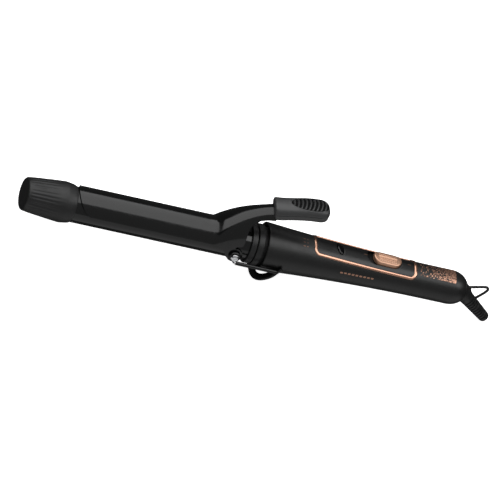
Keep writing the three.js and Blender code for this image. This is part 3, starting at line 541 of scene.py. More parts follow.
tube = {"wall": 1.0, "edge": 0.3}
tubeProfile = rounded([
    (barrelFront, barrelRadius, tube["edge"]), (barrelBack, barrelRadius, tube["edge"]),
    (barrelBack, barrelRadius - tube["wall"]), (barrelFront, barrelRadius - tube["wall"]),
], 4, closed=True)
addPiece("heatedTube", turned(tubeProfile, 160, closed=True), "barrelCoat", "iron",
         ["barrel"])
print("barrel and tip done")

# two rings between the barrel and the handle
collar = {
    "front": 9.3,
    "step": 13.9,
    "back": 18.5,
    "frontRadius": 14.0,
    "backRadius": 14.7,
    "gap": 0.35,  # shadow line between the two rings
    "neckDrop": 1.4,
    "neckLength": 7.8,
}
bore = barrelRadius + 0.02
ringOne = rounded([
    (collar["front"], bore), (collar["front"], collar["frontRadius"], 0.9),
    (collar["step"] - collar["gap"], collar["frontRadius"], 0.6), (collar["step"] - collar["gap"], bore),
], 6, closed=True)
addPiece("frontRing", turned(ringOne, 144, closed=True), "collarPlastic", "iron",
         ["barrel_collar"])
neckRadius, neckBack = collar["backRadius"] - collar["neckDrop"], collar["back"] + collar["neckLength"]
ringTwo = rounded([
    (collar["step"], bore), (collar["step"], collar["backRadius"], 0.7),
    (collar["back"], collar["backRadius"], 0.9), (collar["back"] + 0.2, neckRadius, 0.3),
    (neckBack, neckRadius), (neckBack, bore),
], 6, closed=True)
addPiece("mouthRing", turned(ringTwo, 144, closed=True), "collarPlastic", "iron",
         ["handle_cap"])

handle = {
    "front": 20.2,
    "wall": 2.0,
    "tailRadius": 11.93,
    "flare": 5.05,
    "flareEnd": 145,
    "domeStart": 158.5,
    "domeLength": 13.8,
    "domePower": 2.15,
    "lip": 0.9,
    "opening": 7.6,
}
handleBack = lengthOf("handle_sleeve")[1]


def handleRadius(x):
    flare = handle["flare"] * max(0, (handle["flareEnd"] - x) / (handle["flareEnd"] - 20)) ** 1.9
    dome = min(1, max(0, x - handle["domeStart"]) / handle["domeLength"])
    power = handle["domePower"]
    return (handle["tailRadius"] + flare) * max(0, 1 - dome ** power) ** (1 / power)


def onHandle(x, y, lift):
    r = handleRadius(x) + lift
    return math.sqrt(max(0, r * r - y * y))


openingRadius = handle["opening"]
front = handle["front"]
outer = []
for k in range(9):  # rolled front lip
    angle = math.pi / 2 * k / 8
    outer.append((front + handle["lip"] * (1 - math.sin(angle)),
                  handleRadius(front + 1) - handle["lip"] * (1 - math.cos(angle))))
outer = outer[::-1]
sideSpots = [mix(front + 1.6, handle["domeStart"], k / 90) for k in range(91)]
sideSpots += [mix(handle["domeStart"], handleBack, k / 26) for k in range(1, 27)]
outer += [(x, handleRadius(x)) for x in sideSpots]
outer += [(handleBack + 0.12, openingRadius + 0.5), (handleBack, openingRadius)]
innerLine = [(handleBack - 3, openingRadius), (handleBack - 3.6, 9)]
innerSpots = [mix(handle["domeStart"], front + 2, k / 20) for k in range(21)]
innerLine += [(x, handleRadius(x) - handle["wall"]) for x in innerSpots]
innerLine += [(front + 0.9, collar["backRadius"] + 0.35)]
shellShape = turned(outer + innerLine, 176, closed=True)
shell = addPiece("handleShell", shellShape, "softTouch", "iron", ["handle_sleeve"], 40)

# the frame round the panel; the panel sits a little lower (seat) and flatter (crown) than the handle
trim = {
    "front": 54.2,
    "back": 130.9,
    "half": 10.3,
    "corner": 4.2,
    "width": 2.05,
    "proud": 0.42,
    "sunk": 1.0,
    "seat": 0.15,
    "crown": 0.97,
}
trimMiddle = planBox(trim["front"] + trim["width"] / 2, trim["back"] - trim["width"] / 2,
                     trim["half"] - trim["width"] / 2, trim["corner"] - trim["width"] / 2, 14)
windowOutline = trimMiddle(0.1)
window = [[(x, y, 3) for x, y in windowOutline], [(x, y, 24) for x, y in windowOutline]]
carve(shell, lofted(window), crease=40)
print("collar and handle done")


# half-round bead swept along the frame line, standing on the handle's face
def beadOn(outline, width, proud, sunk):
    count = len(outline)
    rings = []
    for i, (x, y) in enumerate(outline):
        r = handleRadius(x)
        slope = (handleRadius(x + 0.5) - handleRadius(x - 0.5))
        here = Vector((x, y, math.sqrt(r * r - y * y)))
        normal = Vector((-slope, y / r, here.z / r)).normalized()
        (xa, ya), (xb, yb) = outline[i - 1], outline[(i + 1) % count]
        along = Vector((xb - xa, yb - ya, onHandle(xb, yb, 0) - onHandle(xa, ya, 0))).normalized()
        across = along.cross(normal).normalized()
        ring = []
        for k in range(13):
            angle = math.pi * k / 12
            ring.append(tuple(here + across * (width / 2) * math.cos(angle)
                              + normal * (proud * math.sin(angle) ** 0.7 if 0 < k < 12 else 0)))
        ring.append(tuple(here - across * width / 2 - normal * sunk))
        ring.append(tuple(here + across * width / 2 - normal * sunk))
        rings.append(ring)
    size = len(rings[0])
    verts = [p for ring in rings for p in ring]
    faces = []
    for i in range(count):
        j = (i + 1) % count
        for k in range(size):
            n = (k + 1) % size
            faces.append((i * size + k, i * size + n, j * size + n, j * size + k))
    return verts, faces


def denser(outline, longest=1.0):
    out = []
    for (x0, y0), (x1, y1) in zip(outline, outline[1:] + outline[:1]):
        steps = max(1, math.ceil(math.hypot(x1 - x0, y1 - y0) / longest))
        out += [(mix(x0, x1, k / steps), mix(y0, y1, k / steps)) for k in range(steps)]
    return out


beadShape = beadOn(denser(trimMiddle(0)), trim["width"], trim["proud"], trim["sunk"])
addPiece("trimBead", beadShape, "roseGold", "iron", ["trim_frame"], 50)

# control panel with its slide button and the dark indicator window
panel = {"thick": 1.3, "edge": 0.12, "tuck": 0.35}  # tuck: how far it runs under the frame
button = {
    "x": 108.8,
    "halfLength": 10.3,
    "halfWidth": 5.6,
    "proud": 1.6,
    "edge": 0.8,
    "travel": 4.0,
    "slotEnd": 0.55,
    "slotSide": 0.75,
    "ridge": 0.2,
    "ridgePitch": 1.5,
}
lensSpot = {
    "x": 73.8,
    "y": -0.4,
    "halfLength": 2.2,
    "halfWidth": 5.0,
    "lean": math.radians(10),
    "proud": 0.45,
    "gap": 0.35,
}
slotHalf = button["halfLength"] + button["travel"] / 2 + button["slotEnd"]
slotX = button["x"] - button["travel"] / 2


def stadium(x, halfLength, halfWidth):
    return planBox(x - halfLength, x + halfLength, halfWidth, halfWidth - 0.02, 14)


slotOutline = stadium(slotX, slotHalf, button["halfWidth"] + button["slotSide"])


def lensOval(gap):
    return planOval(lensSpot["x"], lensSpot["y"], lensSpot["halfLength"] + gap, lensSpot["halfWidth"] + gap,
                    lensSpot["lean"])


lensOutline = lensOval(0)
lensHole = lensOval(lensSpot["gap"])


def densePlan(outline, longest=1.2):
    return lambda inset=0.0: denserFixed(outline, inset, longest)


def denserFixed(outline, inset, longest):
    plain, shifted = outline(0), outline(inset)
    out = []
    for i, (x0, y0) in enumerate(plain):
        x1, y1 = plain[(i + 1) % len(plain)]
        steps = max(1, math.ceil(math.hypot(x1 - x0, y1 - y0) / longest))
        (a0, b0), (a1, b1) = shifted[i], shifted[(i + 1) % len(plain)]
        out += [(mix(a0, a1, k / steps), mix(b0, b1, k / steps)) for k in range(steps)]
    return out


panelInset = trim["width"] - panel["tuck"]
panelOutline = densePlan(planBox(trim["front"] + panelInset, trim["back"] - panelInset,
                                 trim["half"] - panelInset, trim["corner"] - panelInset))


# the panel is flatter than the handle round it
def onPanel(x, y, lift):
    r = handleRadius(x) - trim["seat"]
    edge = math.sqrt(r * r - (trim["half"] - trim["width"]) ** 2)
    return mix(edge, math.sqrt(r * r - y * y), trim["crown"]) + lift


panelShape = facePlate(panelOutline, onPanel, 0, -panel["thick"], panel["edge"],
                       [densePlan(slotOutline), lensHole])
addPiece("panelInset", panelShape, "panelPlastic", "iron", ["control_panel"])


def embossed(x, y):
    along = (x - button["x"]) / (button["halfLength"] - 3.0)
    across = y / (button["halfWidth"] - 1.7)
    inside = ease((1 - max(abs(along), abs(across))) * 6)
    wave = math.sin(2 * math.pi * (x + 0.9 * math.sin(y * 1.5)) / button["ridgePitch"])
    return button["ridge"] * inside * wave


buttonPlan = densePlan(stadium(button["x"], button["halfLength"], button["halfWidth"]))
buttonShape = facePlate(buttonPlan, onPanel, button["proud"], -1.9, button["edge"], pitch=0.3,
                        relief=embossed)
addPiece("sliderButton", buttonShape, "buttonGold", "slide", ["slide_button"], 45)
# a near-black, dull sheet under the button's slot: painted shade for the dark recess round the button
slotShadePlan = densePlan(stadium(button["x"], slotHalf - 1.6 + button["travel"], button["halfWidth"] + 1.2))
slotShadeShape = facePlate(slotShadePlan, onPanel, -2.0, -2.5, 0.1)
addPiece("slotShadeSheet", slotShadeShape, "slotPaintedShade", "slide")
lensShape = facePlate(lensOutline, onPanel, lensSpot["proud"], -1.2, 0.7, pitch=0.5)
addPiece("indicatorWindow", lensShape, "lensPlastic", "iron", ["indicator_lens"], 60)


# short plain bars where printed marks would sit, each a thin closed flake
def flake(outline, lift=0.03, deep=0.25):
    return lofted([[(x, y, onPanel(x, y, off)) for x, y in outline] for off in (-deep, lift)])


def bar(x, y, length, width):
    return [(x - length / 2, y - width / 2), (x + length / 2, y - width / 2),
            (x + length / 2, y + width / 2), (x - length / 2, y + width / 2)]


ticks = {"at": (92.6, 125.2), "y": -0.4, "length": 2.6, "width": 0.5}
panelMarks = [flake(bar(x, ticks["y"], ticks["length"], ticks["width"])) for x in ticks["at"]]
addPiece("panelTicks", joined(*panelMarks), "mosaicDeep", "iron")


# the same flake laid at an angle round the handle
def wrapped(outlineXA, lift=0.03, deep=0.25):
    rings = []
    for off in (-deep, lift):
        rings.append([(x, -(handleRadius(x) + off) * math.sin(a), (handleRadius(x) + off) * math.cos(a))
                      for x, a in outlineXA])
    return lofted(rings)


def wrappedBar(x, angle, length, width):
    half = width / 2 / handleRadius(x)
    return wrapped([(x - length / 2, angle + half), (x + length / 2, angle + half),
                    (x + length / 2, angle - half), (x - length / 2, angle - half)])


# a row of plain dashes along the handle's side
sideBars = {"x": 77.2, "count": 9, "pitch": 2.85, "angle": math.radians(78), "length": 1.9, "width": 1.15}
dashSpots = [sideBars["x"] + k * sideBars["pitch"] for k in range(sideBars["count"])]
dashes = [wrappedBar(x, sideBars["angle"], sideBars["length"], sideBars["width"]) for x in dashSpots]
addPiece("sideDashes", joined(*dashes), "mosaicGold", "iron")
# three rows of short marks ahead of the frame
scale = {
    "x": 46.5,
    "rows": 3,
    "angle": math.radians(26),
    "step": math.radians(11),
    "pitch": 2.4,
    "width": 0.55,
}
scaleMarks = []
for row in range(scale["rows"]):
    for k, length in enumerate((1.6, 0.9)):
        angle = scale["angle"] - row * scale["step"]
        scaleMarks.append(wrappedBar(scale["x"] + k * scale["pitch"], angle, length, scale["width"]))
addPiece("sideScale", joined(*scaleMarks), "mosaicDeep", "iron")
print("panel done")

# loose triangles that gather towards the tail
mosaic = {
    "from": 133.5,
    "to": 160,
    "spread": math.radians(35),
    "cell": 1.15,
    "seed": 11,
    "sparse": 0.3,  # share of the cells kept at the front
    "gather": 0.75,  # how much that share grows by the tail
    "jitter": 0.16,
    "thick": 0.035,
}
dice = random.Random(mosaic["seed"])
flakes = {"mosaicGold": [], "mosaicDeep": []}
columns = int((mosaic["to"] - mosaic["from"]) / mosaic["cell"])
for i in range(columns):
    x = mosaic["from"] + (i + 0.5) * mosaic["cell"]
    share = (i + 0.5) / columns
    arc = 2 * mosaic["spread"] * handleRadius(x)
    rows = int(arc / mosaic["cell"])
    for j in range(rows):
        for half in (0, 1):
            keep = dice.random() < mosaic["sparse"] + mosaic["gather"] * share ** 1.6
            jitter = [dice.uniform(-mosaic["jitter"], mosaic["jitter"]) for _ in range(6)]
            if not keep:
                continue
            a0 = -mosaic["spread"] + 2 * mosaic["spread"] * (j + 0.5) / rows
            step = mosaic["cell"] * 0.5
            corners = [(-1, -1), (1, -1), (-1, 1)] if half == 0 else [(1, 1), (-1, 1), (1, -1)]
            pull = 0.86 if share < 0.85 else 0.97
            outline = []
            for (cx, cy), dx, dy in zip(corners, jitter[:3], jitter[3:]):
                px, py = cx * step * pull + dx, cy * step * pull + dy
                outline.append((x + px, a0 + py / handleRadius(x)))
            tone = "mosaicGold" if dice.random() < 0.25 + 0.65 * share else "mosaicDeep"
            flakes[tone].append(wrapped(outline, mosaic["thick"], 0.2))
for tone, shapes in flakes.items():
    addPiece("tail" + tone[0].upper() + tone[1:], joined(*shapes), tone, "iron")
print("mosaic:", sum(len(shapes) for shapes in flakes.values()), "triangles")

# clip: one pressed sheet that rises from the barrel into the lever
clip = {
    "thick": 0.85,
    "radius": 13.28,
    "wrap": math.radians(85),
    "crownWrap": math.radians(48),
    "front": -117.8,
    "corner": 17.0,
    "lift": -19.0,
    "end": 18.6,
    "earY": 13.8,
    "earRadius": 5.6,
    "neckRadius": 7.8,
    "neckSide": 7.9,
}
leverPoints = [
    (-22, clip["radius"]), (clip["lift"], clip["radius"] + 0.1), (-17, 13.8), (-13, 17.9), (-7.5, 22.9),
    (-2.5, 26.7), (3.5, 30.3), (9.5, 33.1), (16.5, 35.7), (28, 38.9), (46, 41.6),
]
leverLine = smoothLine([(x, 0, z) for x, z in leverPoints], 24)


def leverHeight(x):
    if x <= -22:
        return clip["radius"]
    for a, b in zip(leverLine, leverLine[1:]):
        if a.x <= x <= b.x:
            return mix(a.z, b.z, (x - a.x) / (b.x - a.x))
    return leverLine[-1].z


# half of the sheet's middle line at x, from the crown to the lower edge
def clipHalf(x, crownSteps=14, sideSteps=20):
    rise = ease((x - clip["lift"]) / 32)
    crownRadius = mix(clip["radius"], clip["neckRadius"], rise)
    intoFront = min(1, max(0, (clip["front"] + clip["corner"] - x) / clip["corner"]))
    share = math.sqrt(max(0, 1 - intoFront ** 2))
    crownWrap = clip["crownWrap"] * share * mix(1, 0.9, rise)
    top = leverHeight(x)
    line = []
    for k in range(crownSteps + 1):
        angle = crownWrap * k / crownSteps
        line.append((crownRadius * math.sin(angle), top - crownRadius * (1 - math.cos(angle))))
    wrap = clip["wrap"] * share
    ear = ease((x + 13) / 8)
    fold = ease((x + 19) / 8)
    sideY = mix(clip["earY"], clip["neckSide"], ease((x - 3) / 12))
    edgeY = mix(clip["radius"] * math.sin(wrap), sideY, fold)
    edgeZ = mix(clip["radius"] * math.cos(wrap), hingeZ - clip["earRadius"] - 1, ear)
    startY, startZ = line[-1]
    reach = 0.341 * math.hypot(edgeY - startY, edgeZ - startZ)
    lean = math.pi / 2 - mix(wrap, math.pi / 2, fold)
    p0, p3 = Vector((startY, startZ)), Vector((edgeY, edgeZ))
    p1 = p0 + Vector((reach * math.cos(crownWrap), -reach * math.sin(crownWrap)))
    p2 = p3 + Vector((-reach * math.sin(lean), reach * math.cos(lean)))
    for k in range(1, sideSteps + 1):
        t = k / sideSteps
        p = p0 * (1 - t) ** 3 + p1 * 3 * t * (1 - t) ** 2 + p2 * 3 * t * t * (1 - t) + p3 * t ** 3
        line.append((p.x, p.y))
    return line


stations = [clip["front"] + clip["corner"] * (1 - math.cos(math.radians(a))) for a in range(3, 91, 3)]
step = 4.0
while stations[-1] + step < -24:
    stations.append(stations[-1] + step)
stations += [mix(-24, clip["end"], k / 64) for k in range(65)]
rows = []
for x in stations:
    half = clipHalf(x)
    rows.append([Vector((x, -y, z)) for y, z in reversed(half[1:])] + [Vector((x, y, z)) for y, z in half])
sheetRings = []
for i, row in enumerate(rows):
    outerSide, innerSide = [], []
    for j, point in enumerate(row):
        across = row[min(j + 1, len(row) - 1)] - row[max(j - 1, 0)]
        along = rows[min(i + 1, len(rows) - 1)][j] - rows[max(i - 1, 0)][j]
        normal = along.cross(across).normalized()
        if normal.z * point.z < 0 and abs(normal.z) > 0.3:
            normal = -normal
        facing = 1 if normal.dot(Vector((0, point.y, 8))) > 0 else -1
        outerSide.append(point + normal * clip["thick"] / 2 * facing)
        innerSide.append(point * 2 - outerSide[-1])
    down = (row[-1] - row[-2]).normalized() * clip["thick"] * 0.3
    left = (row[0] - row[1]).normalized() * clip["thick"] * 0.3
    sheetRings.append([tuple(p) for p in outerSide] + [tuple(row[-1] + down)]
                      + [tuple(p) for p in reversed(innerSide)] + [tuple(row[0] + left)])
clipPiece = addPiece("clipSheet", lofted(sheetRings), "clipCoat", "clip", ["clip_plate"], 40)


# an outline in x and z pushed across the whole width
def sideCut(outline, half=30):
    return lofted([[(x, -half, z) for x, z in outline], [(x, half, z) for x, z in outline]])


behind = rounded([
    (40, -30), (-1.6, -30), (-1.6, 6.1, 2.6), (3.1, 6.3, 2.4),
    (2.6, 22.5, 7.5), (8.4, 27.9, 3), (13.4, 29.8, 2), (40, 36.4),
], 12, closed=True)
ahead = rounded([
    (-26, -30), (0, -30), (-1.2, hingeZ - 5.2, 1), (-5.2, -4.8, 3),
    (-9.2, 0.7, 4), (-14, 0.95, 2), (-26, 0.95),
], 12, closed=True)
carve(clipPiece, sideCut(behind), crease=40)
carve(clipPiece, sideCut(ahead), crease=40)
halfThick, ear = clip["thick"] / 2, clip["earRadius"]
earLine = rounded([(-halfThick, 0), (-halfThick, ear, 0.2), (halfThick, ear, 0.2), (halfThick, 0)], 4)
for side in (-1, 1):
    earTurn = Matrix.Translation((0, side * clip["earY"], hingeZ)) @ Matrix.Rotation(math.pi / 2, 4, "Z")
    disc = moved(turned(earLine, 72), earTurn)
    carve(clipPiece, disc, "UNION", 40)
clipPiece.data.materials.append(finish("sheetEdgeShade"))
for face in clipPiece.data.polygons:  # the inner side and the cut edges get a darker, duller colour: painted shade for the shadow line in the gap above the barrel
    spot = face.center
    outward = Vector((0, spot.y, spot.z - axisZ)).normalized()
    if spot.x < inFrame(clip["lift"], 0, 0).x and face.normal.dot(outward) < 0.5:
        face.material_index = 1
print("clip sheet done:", len(clipPiece.data.polygons), "faces")

# thumb pad with its ribbed insert
pad = {
    "front": 14.1,
    "slant": 3.3,
    "back": 54.0,
    "half": 8.2,
    "band": 4.7,
    "step": 0.32,
    "crown": 6.0,
    "bevel": 2.0,
    "brow": 1.7,
}


def padFloor(x):
    return 30.7 + 6.3 * math.sin(math.pi / 2 * ease((x - 13) / 46))


def padTop(x):
    return padFloor(x) + pad["band"] + pad["crown"]


def padRing(x, shrink=0.0):
    intoBack = min(1, max(0, (pad["back"] - x) / 7.5))
    tail = math.sqrt(max(0, 1 - (1 - intoBack) ** 2.3))
    half = pad["half"] * mix(0.45, 1, tail) - shrink
    floor = padFloor(x) + shrink + 1.4 * (1 - tail)
    belt = padFloor(x) + pad["band"]
    crown = pad["crown"] * mix(0.35, 1, tail) - shrink * pad["brow"]
    inset = pad["step"]
    low = rounded([(0, floor), (half - inset, floor, 1.6), (half - inset, belt - 0.25)], 5)
    low = [(mix(0, low[1][0], k / 4), floor) for k in range(4)] + low[1:]
    inside = half - inset - 0.35
    groove = [(inside, belt - 0.05), (inside, belt + 0.12), (half - 0.1, belt + 0.3)]
    upper = []
    for k in range(19):
        angle = math.pi / 2 * k / 18
        rise = belt + 0.55 + (crown - 0.55) * math.sin(angle) ** 1.04
        upper.append((half * math.cos(angle) ** 0.72, rise))
    return low + groove + upper


def padLoop(x, shrink=0.0):
    half = padRing(x, shrink)
    loop = half + [(-y, z) for y, z in reversed(half[1:-1])]
    out = []
    fade = 1 - ease((x - pad["front"]) / 14)
    for y, z in loop:
        lower = (padTop(pad["front"]) - z) / (pad["band"] + pad["crown"])
        out.append((x + pad["slant"] * fade * lower, y, z))
    return out


padStations = [pad["front"] + pad["bevel"] * (1 - math.cos(math.radians(a))) for a in range(0, 91, 15)]
padInset = [pad["bevel"] * (1 - math.sin(math.radians(a))) for a in range(0, 91, 15)]
padLoops = [padLoop(x, s) for x, s in zip(padStations, padInset)]
padLoops += [padLoop(mix(padStations[-1], pad["back"] - 7.5, k / 30)) for k in range(1, 31)]
padLoops += [padLoop(pad["back"] - 7.5 * (1 - math.sin(math.radians(a)))) for a in range(6, 91, 6)]
padShell = addPiece("padShell", lofted(padLoops), "padPlastic", "clip", ["thumb_pad"], 32)

grip = {
    "x": 39.4,
    "halfLength": 13.0,
    "halfWidth": 6.0,
    "swell": 0.2,
    "ribs": 9.4,
    "ribHeight": 1.35,
    "sunk": 1.15,
    "gap": 0.28,
    "deep": 1.9,
    "grooveShare": 0.45,
}


def onPad(x, y, lift):
    half = [p for p in padRing(x)[-19:]]
    y = abs(y)
    for (y0, z0), (y1, z1) in zip(half, half[1:]):
        if y1 <= y <= y0:
            return mix(z0, z1, (y0 - y) / max(1e-6, y0 - y1)) + lift
    return half[-1][1] + lift


ribPitch = 2 * grip["halfLength"] / grip["ribs"]


def ribbed(x, y):
    bow = 0.03 * y * y - 0.1 * y  # the ribs bow and lean a little
    wave = math.cos(2 * math.pi * (x - grip["x"] + bow) / ribPitch)
    return grip["ribHeight"] * (0.5 + 0.5 * math.copysign(abs(wave) ** 0.6, wave))


# leaf outline, fuller towards the cord end
def gripLeaf(inset=0.0, count=132):
    out = []
    for k in range(count):
        angle = 2 * math.pi * k / count
        c, sn = math.cos(angle), math.sin(angle)
        along = math.copysign(abs(c) ** 0.86, c) * (grip["halfLength"] - inset)
        half = (grip["halfWidth"] - inset) * (1 + grip["swell"] * c)
        out.append((grip["x"] + along, math.copysign(abs(sn) ** 0.9, sn) * half))
    return out


bed = facePlate(lambda inset=0.0: gripLeaf(inset - grip["gap"]), onPad, 2.5, -grip["deep"], 0.1, pitch=0.8)
carve(padShell, bed, crease=32)
gripShape = facePlate(gripLeaf, onPad, -grip["sunk"], -grip["deep"] - 0.3, 0.25, pitch=0.34, relief=ribbed)
insert = addPiece("gripInsert", gripShape, "gripRubber", "clip", ["thumb_grip"], 60)
insert.data.materials.append(finish("gripGroove"))
for face in insert.data.polygons:  # dust and shade keep the grooves dark
    spot = face.center
    x, y = (spot.x - hingeX) / mm, spot.y / mm
    if abs(y) < grip["halfWidth"] and ribbed(x, y) < grip["ribHeight"] * grip["grooveShare"]:
        face.material_index = 1
rimLine = [Vector((x, y, onPad(x, y, -0.2))) for x, y in gripLeaf(-grip["gap"] - 0.3)]
rimLine += rimLine[:2]
rimShape = rod(rimLine, 0.3, 8)
addPiece("gripRim", rimShape, "padPlastic", "clip", crease=80)
print("thumb pad done")

# leaf spring, bending between the lever and the barrel
spring = {"thick": 0.5, "half": 3.0}
springLine = [
    (13.4, 31.4), (9, 29.4), (3.5, 26.4), (-1.5, 22.6), (-5.2, 18.8),
    (-6.6, 16.4), (-5.6, 14.6), (-2, 13.35), (5.6, 13.0),
]
springPath = smoothLine([(x, 0, z) for x, z in springLine], 10)
springRings = []
for i, point in enumerate(springPath):
    ahead = (springPath[min(i + 1, len(springPath) - 1)] - springPath[max(i - 1, 0)]).normalized()
    normal = Vector((-ahead.z, 0, ahead.x)) * spring["thick"] / 2
    edge = Vector((0, spring["half"], 0))
    face = Vector((0, spring["half"] - 0.1, 0))
    springRings.append([
        tuple(point + normal + face), tuple(point + edge), tuple(point - normal + face),
        tuple(point - normal - face), tuple(point - edge), tuple(point + normal - face),
    ])
leafSpring = addPiece("leafSpring", lofted(springRings), "springSteel", None,
                      ["clip_spring"])
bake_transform(leafSpring)

# pivot screws, one each side
screw = {
    "radius": 3.0,
    "shank": 1.5,
    "root": 14.4,
    "base": 16.95,
    "face": 18.4,
    "slot": 0.8,
    "slotDeep": 0.8,
    "spin": math.radians(35),
}
for name, side, node in (("screwLeft", -1, "pivot_screw_left"), ("screwRight", 1, "pivot_screw_right")):
    head = rounded([
        (screw["root"], 0), (screw["root"], screw["shank"]), (screw["base"], screw["shank"]),
        (screw["base"], screw["radius"], 0.25), (screw["base"] + 0.5, screw["radius"], 0.9),
        (screw["face"], screw["radius"] - 1.1, 1.2), (screw["face"], 0),
    ], 6)
    turn = Matrix.Translation((0, 0, hingeZ)) @ Matrix.Rotation(side * math.pi / 2, 4, "Z")
    piece = addPiece(name, moved(turned(head, 64), turn), "chrome", "iron", [node], 45)
    reach, half = 1.5, screw["slot"] / 2
    slotRing = [(-reach, -half), (reach, -half), (reach, half), (-reach, half)]
    depths = (screw["face"] - screw["slotDeep"], screw["face"] + 1)
    recess = lofted([[(x, y, z) for y, z in slotRing] for x in depths])
    carve(piece, moved(recess, turn @ Matrix.Rotation(screw["spin"], 4, "X")), crease=45)

# wire stand: an eye round each screw, two sleeved arms and a moulded foot
stand = {
    "wire": 1.08,
    "eye": 3.1,
    "eyeY": 15.6,
    "armEnd": 33.0,
    "half": 18.3,
    "footHalf": 17.0,
    "lean": math.radians(38),
    "depth": 19.5,
    "bend": 2.6,
    "sleeve": 1.38,
    "footWide": 2.5,
    "footShoulder": 3.0,
    "footThick": 1.4,
    "sleeveFrom": 1.9,
}
armZ = hingeZ - stand["eye"]


def bent(value):
    return math.copysign(abs(value) ** (2 / stand["bend"]), value)


def footPoint(angle):
    depth = stand["depth"] * bent(math.sin(angle))
    return (stand["armEnd"] - depth * math.sin(stand["lean"]), -stand["footHalf"] * bent(math.cos(angle)),
            armZ - depth * math.cos(stand["lean"]))


arm = [
    (0, -stand["eyeY"], armZ), (0.7, -16.8, armZ - 0.2), (1.7, -17.7, armZ - 0.25), (4, -17.95, armZ - 0.1),
    (stand["armEnd"] * 0.5, -18.2, armZ), (stand["armEnd"] - 1.6, -stand["half"], armZ),
]
for name, side in (("armLeft", 1), ("armRight", -1)):
    line = [Vector((p.x, p.y * side, p.z)) for p in smoothLine(arm, 12)]
    cutAt = [p.x > stand["sleeveFrom"] for p in line].index(True)
    addPiece(name + "Sleeve", rod(line[cutAt:], stand["sleeve"], 20), "wireCoat", "stand")
    # the eye: most of a turn round the screw, then out into the arm
    turns = [math.radians(a) for a in range(-330, 1, 6)]
    eyeY, eye = -side * stand["eyeY"], stand["eye"]
    eyeLine = [(eye * math.sin(a), eyeY, hingeZ - eye * math.cos(a)) for a in turns]
    addPiece(name + "Eye", rod(eyeLine, stand["wire"], 20), "wireCoat", "stand",
             ["stand_wire"] if side > 0 else ())
    addPiece(name + "Bare", rod(line[:cutAt + 2], stand["wire"] + 0.02, 20), "chrome", "stand")

# moulded foot: a flat-sided crescent, wide in its own plane
footRings = []
outOfPlane = Vector((-math.cos(stand["lean"]), 0, math.sin(stand["lean"])))
for k in range(61):
    angle = math.pi * mix(-0.03, 1.03, k / 60)
    centre = Vector(footPoint(angle))
    ahead = (Vector(footPoint(angle + 0.01)) - Vector(footPoint(angle - 0.01))).normalized()
    outward = ahead.cross(outOfPlane).normalized()
    swell = ease(math.sin(math.pi * k / 60) * 3.5)
    wide = mix(1.2, mix(stand["footShoulder"], stand["footWide"], math.sin(math.pi * k / 60)), swell)
    thick = mix(1.2, stand["footThick"], swell)
    footRings.append([
        tuple(centre + outward * wide * math.copysign(abs(math.cos(a)) ** 0.8, math.cos(a))
              + outOfPlane * thick * math.copysign(abs(math.sin(a)) ** 0.8, math.sin(a)))
        for a in [2 * math.pi * j / 28 for j in range(28)]
    ])
addPiece("footSleeve", lofted(footRings), "wireCoat", "stand", ["stand_foot"])
print("stand done")

# swivel head, ribbed boot and hanging loop
boot = {
    "x": 166.7,
    "angle": math.radians(36.8),
    "start": 9.4,
    "end": 33.7,
    "rootRadius": 5.1,
    "endRadius": 3.75,
    "boreRadius": 2.45,
    "round": 1.9,
    "grooves": 9,
    "first": 11.5,
    "pitch": 2.32,
    "grooveWidth": 1.05,
    "depth": 0.85,
}
bootTurn = Matrix.Translation((boot["x"], 0, 0)) @ Matrix.Rotation(boot["angle"], 4, "Y")
headRadius = openingRadius - 0.3
headProfile = [
    (140, 0), (140, 4), (160, 4), (161, 8.2), (164.4, 8.2),
    (164.4, headRadius), (handleBack + 0.1, headRadius),
]
headSpots = (169.4, 169.9, 170.4, 170.9, 171.3, 171.7, 172.0, 172.2)
headProfile += [(x, handleRadius(x) - 0.02) for x in headSpots]
headProfile += [(172.3, 0)]
head = addPiece("swivelHead", turned(headProfile, 120), "bootRubber", "swivel",
                ["swivel_head"], 40)
neckEnd = boot["start"] + 0.2
neckProfile = rounded([
    (1, 0), (1, 6.9), (5.2, 6.75, 3), (7.6, 5.5, 5), (neckEnd, boot["rootRadius"] + 0.02), (neckEnd, 0),
], 8)
carve(head, moved(turned(neckProfile, 96), bootTurn), "UNION", 40)


def grooved(d, radius, angle):
    if radius < boot["endRadius"] - 0.9 or d < boot["first"] - 0.6:
        return radius
    k = (d - boot["first"]) / boot["pitch"]
    index = min(boot["grooves"] - 1, max(0, round(k)))
    away = abs(k - index) * boot["pitch"]
    cutIn = 1 - ease((away - boot["grooveWidth"] / 2 + 0.25) / 0.28)
    fromBelow = abs(math.atan2(math.sin(angle - math.pi), math.cos(angle - math.pi)))
    side = ease((fromBelow - math.radians(52)) / math.radians(16))
    return radius - boot["depth"] * cutIn * side


bootStart, bootEnd, bootBore = boot["start"], boot["end"], boot["boreRadius"]
bootLine = [(1.6, 0), (1.6, 4.1), (bootStart, 4.1)]
for k in range(221):
    d = mix(bootStart, bootEnd - boot["round"], k / 220)
    share = (d - bootStart) / (bootEnd - bootStart)
    bootLine.append((d, mix(boot["rootRadius"], boot["endRadius"], share)))
for k in range(1, 9):
    angle = math.pi / 2 * k / 8
    d = bootEnd - boot["round"] + boot["round"] * math.sin(angle)
    bootLine.append((d, boot["endRadius"] - (1 - math.cos(angle))))
bootLine += [(bootEnd, bootBore), (bootEnd - 8, bootBore), (bootEnd - 8.5, 0)]
bootShape = moved(turned(bootLine, 96, shape=grooved), bootTurn)
addPiece("cordBoot", bootShape, "bootRubber", "swivel", ["cord_boot"], 50)

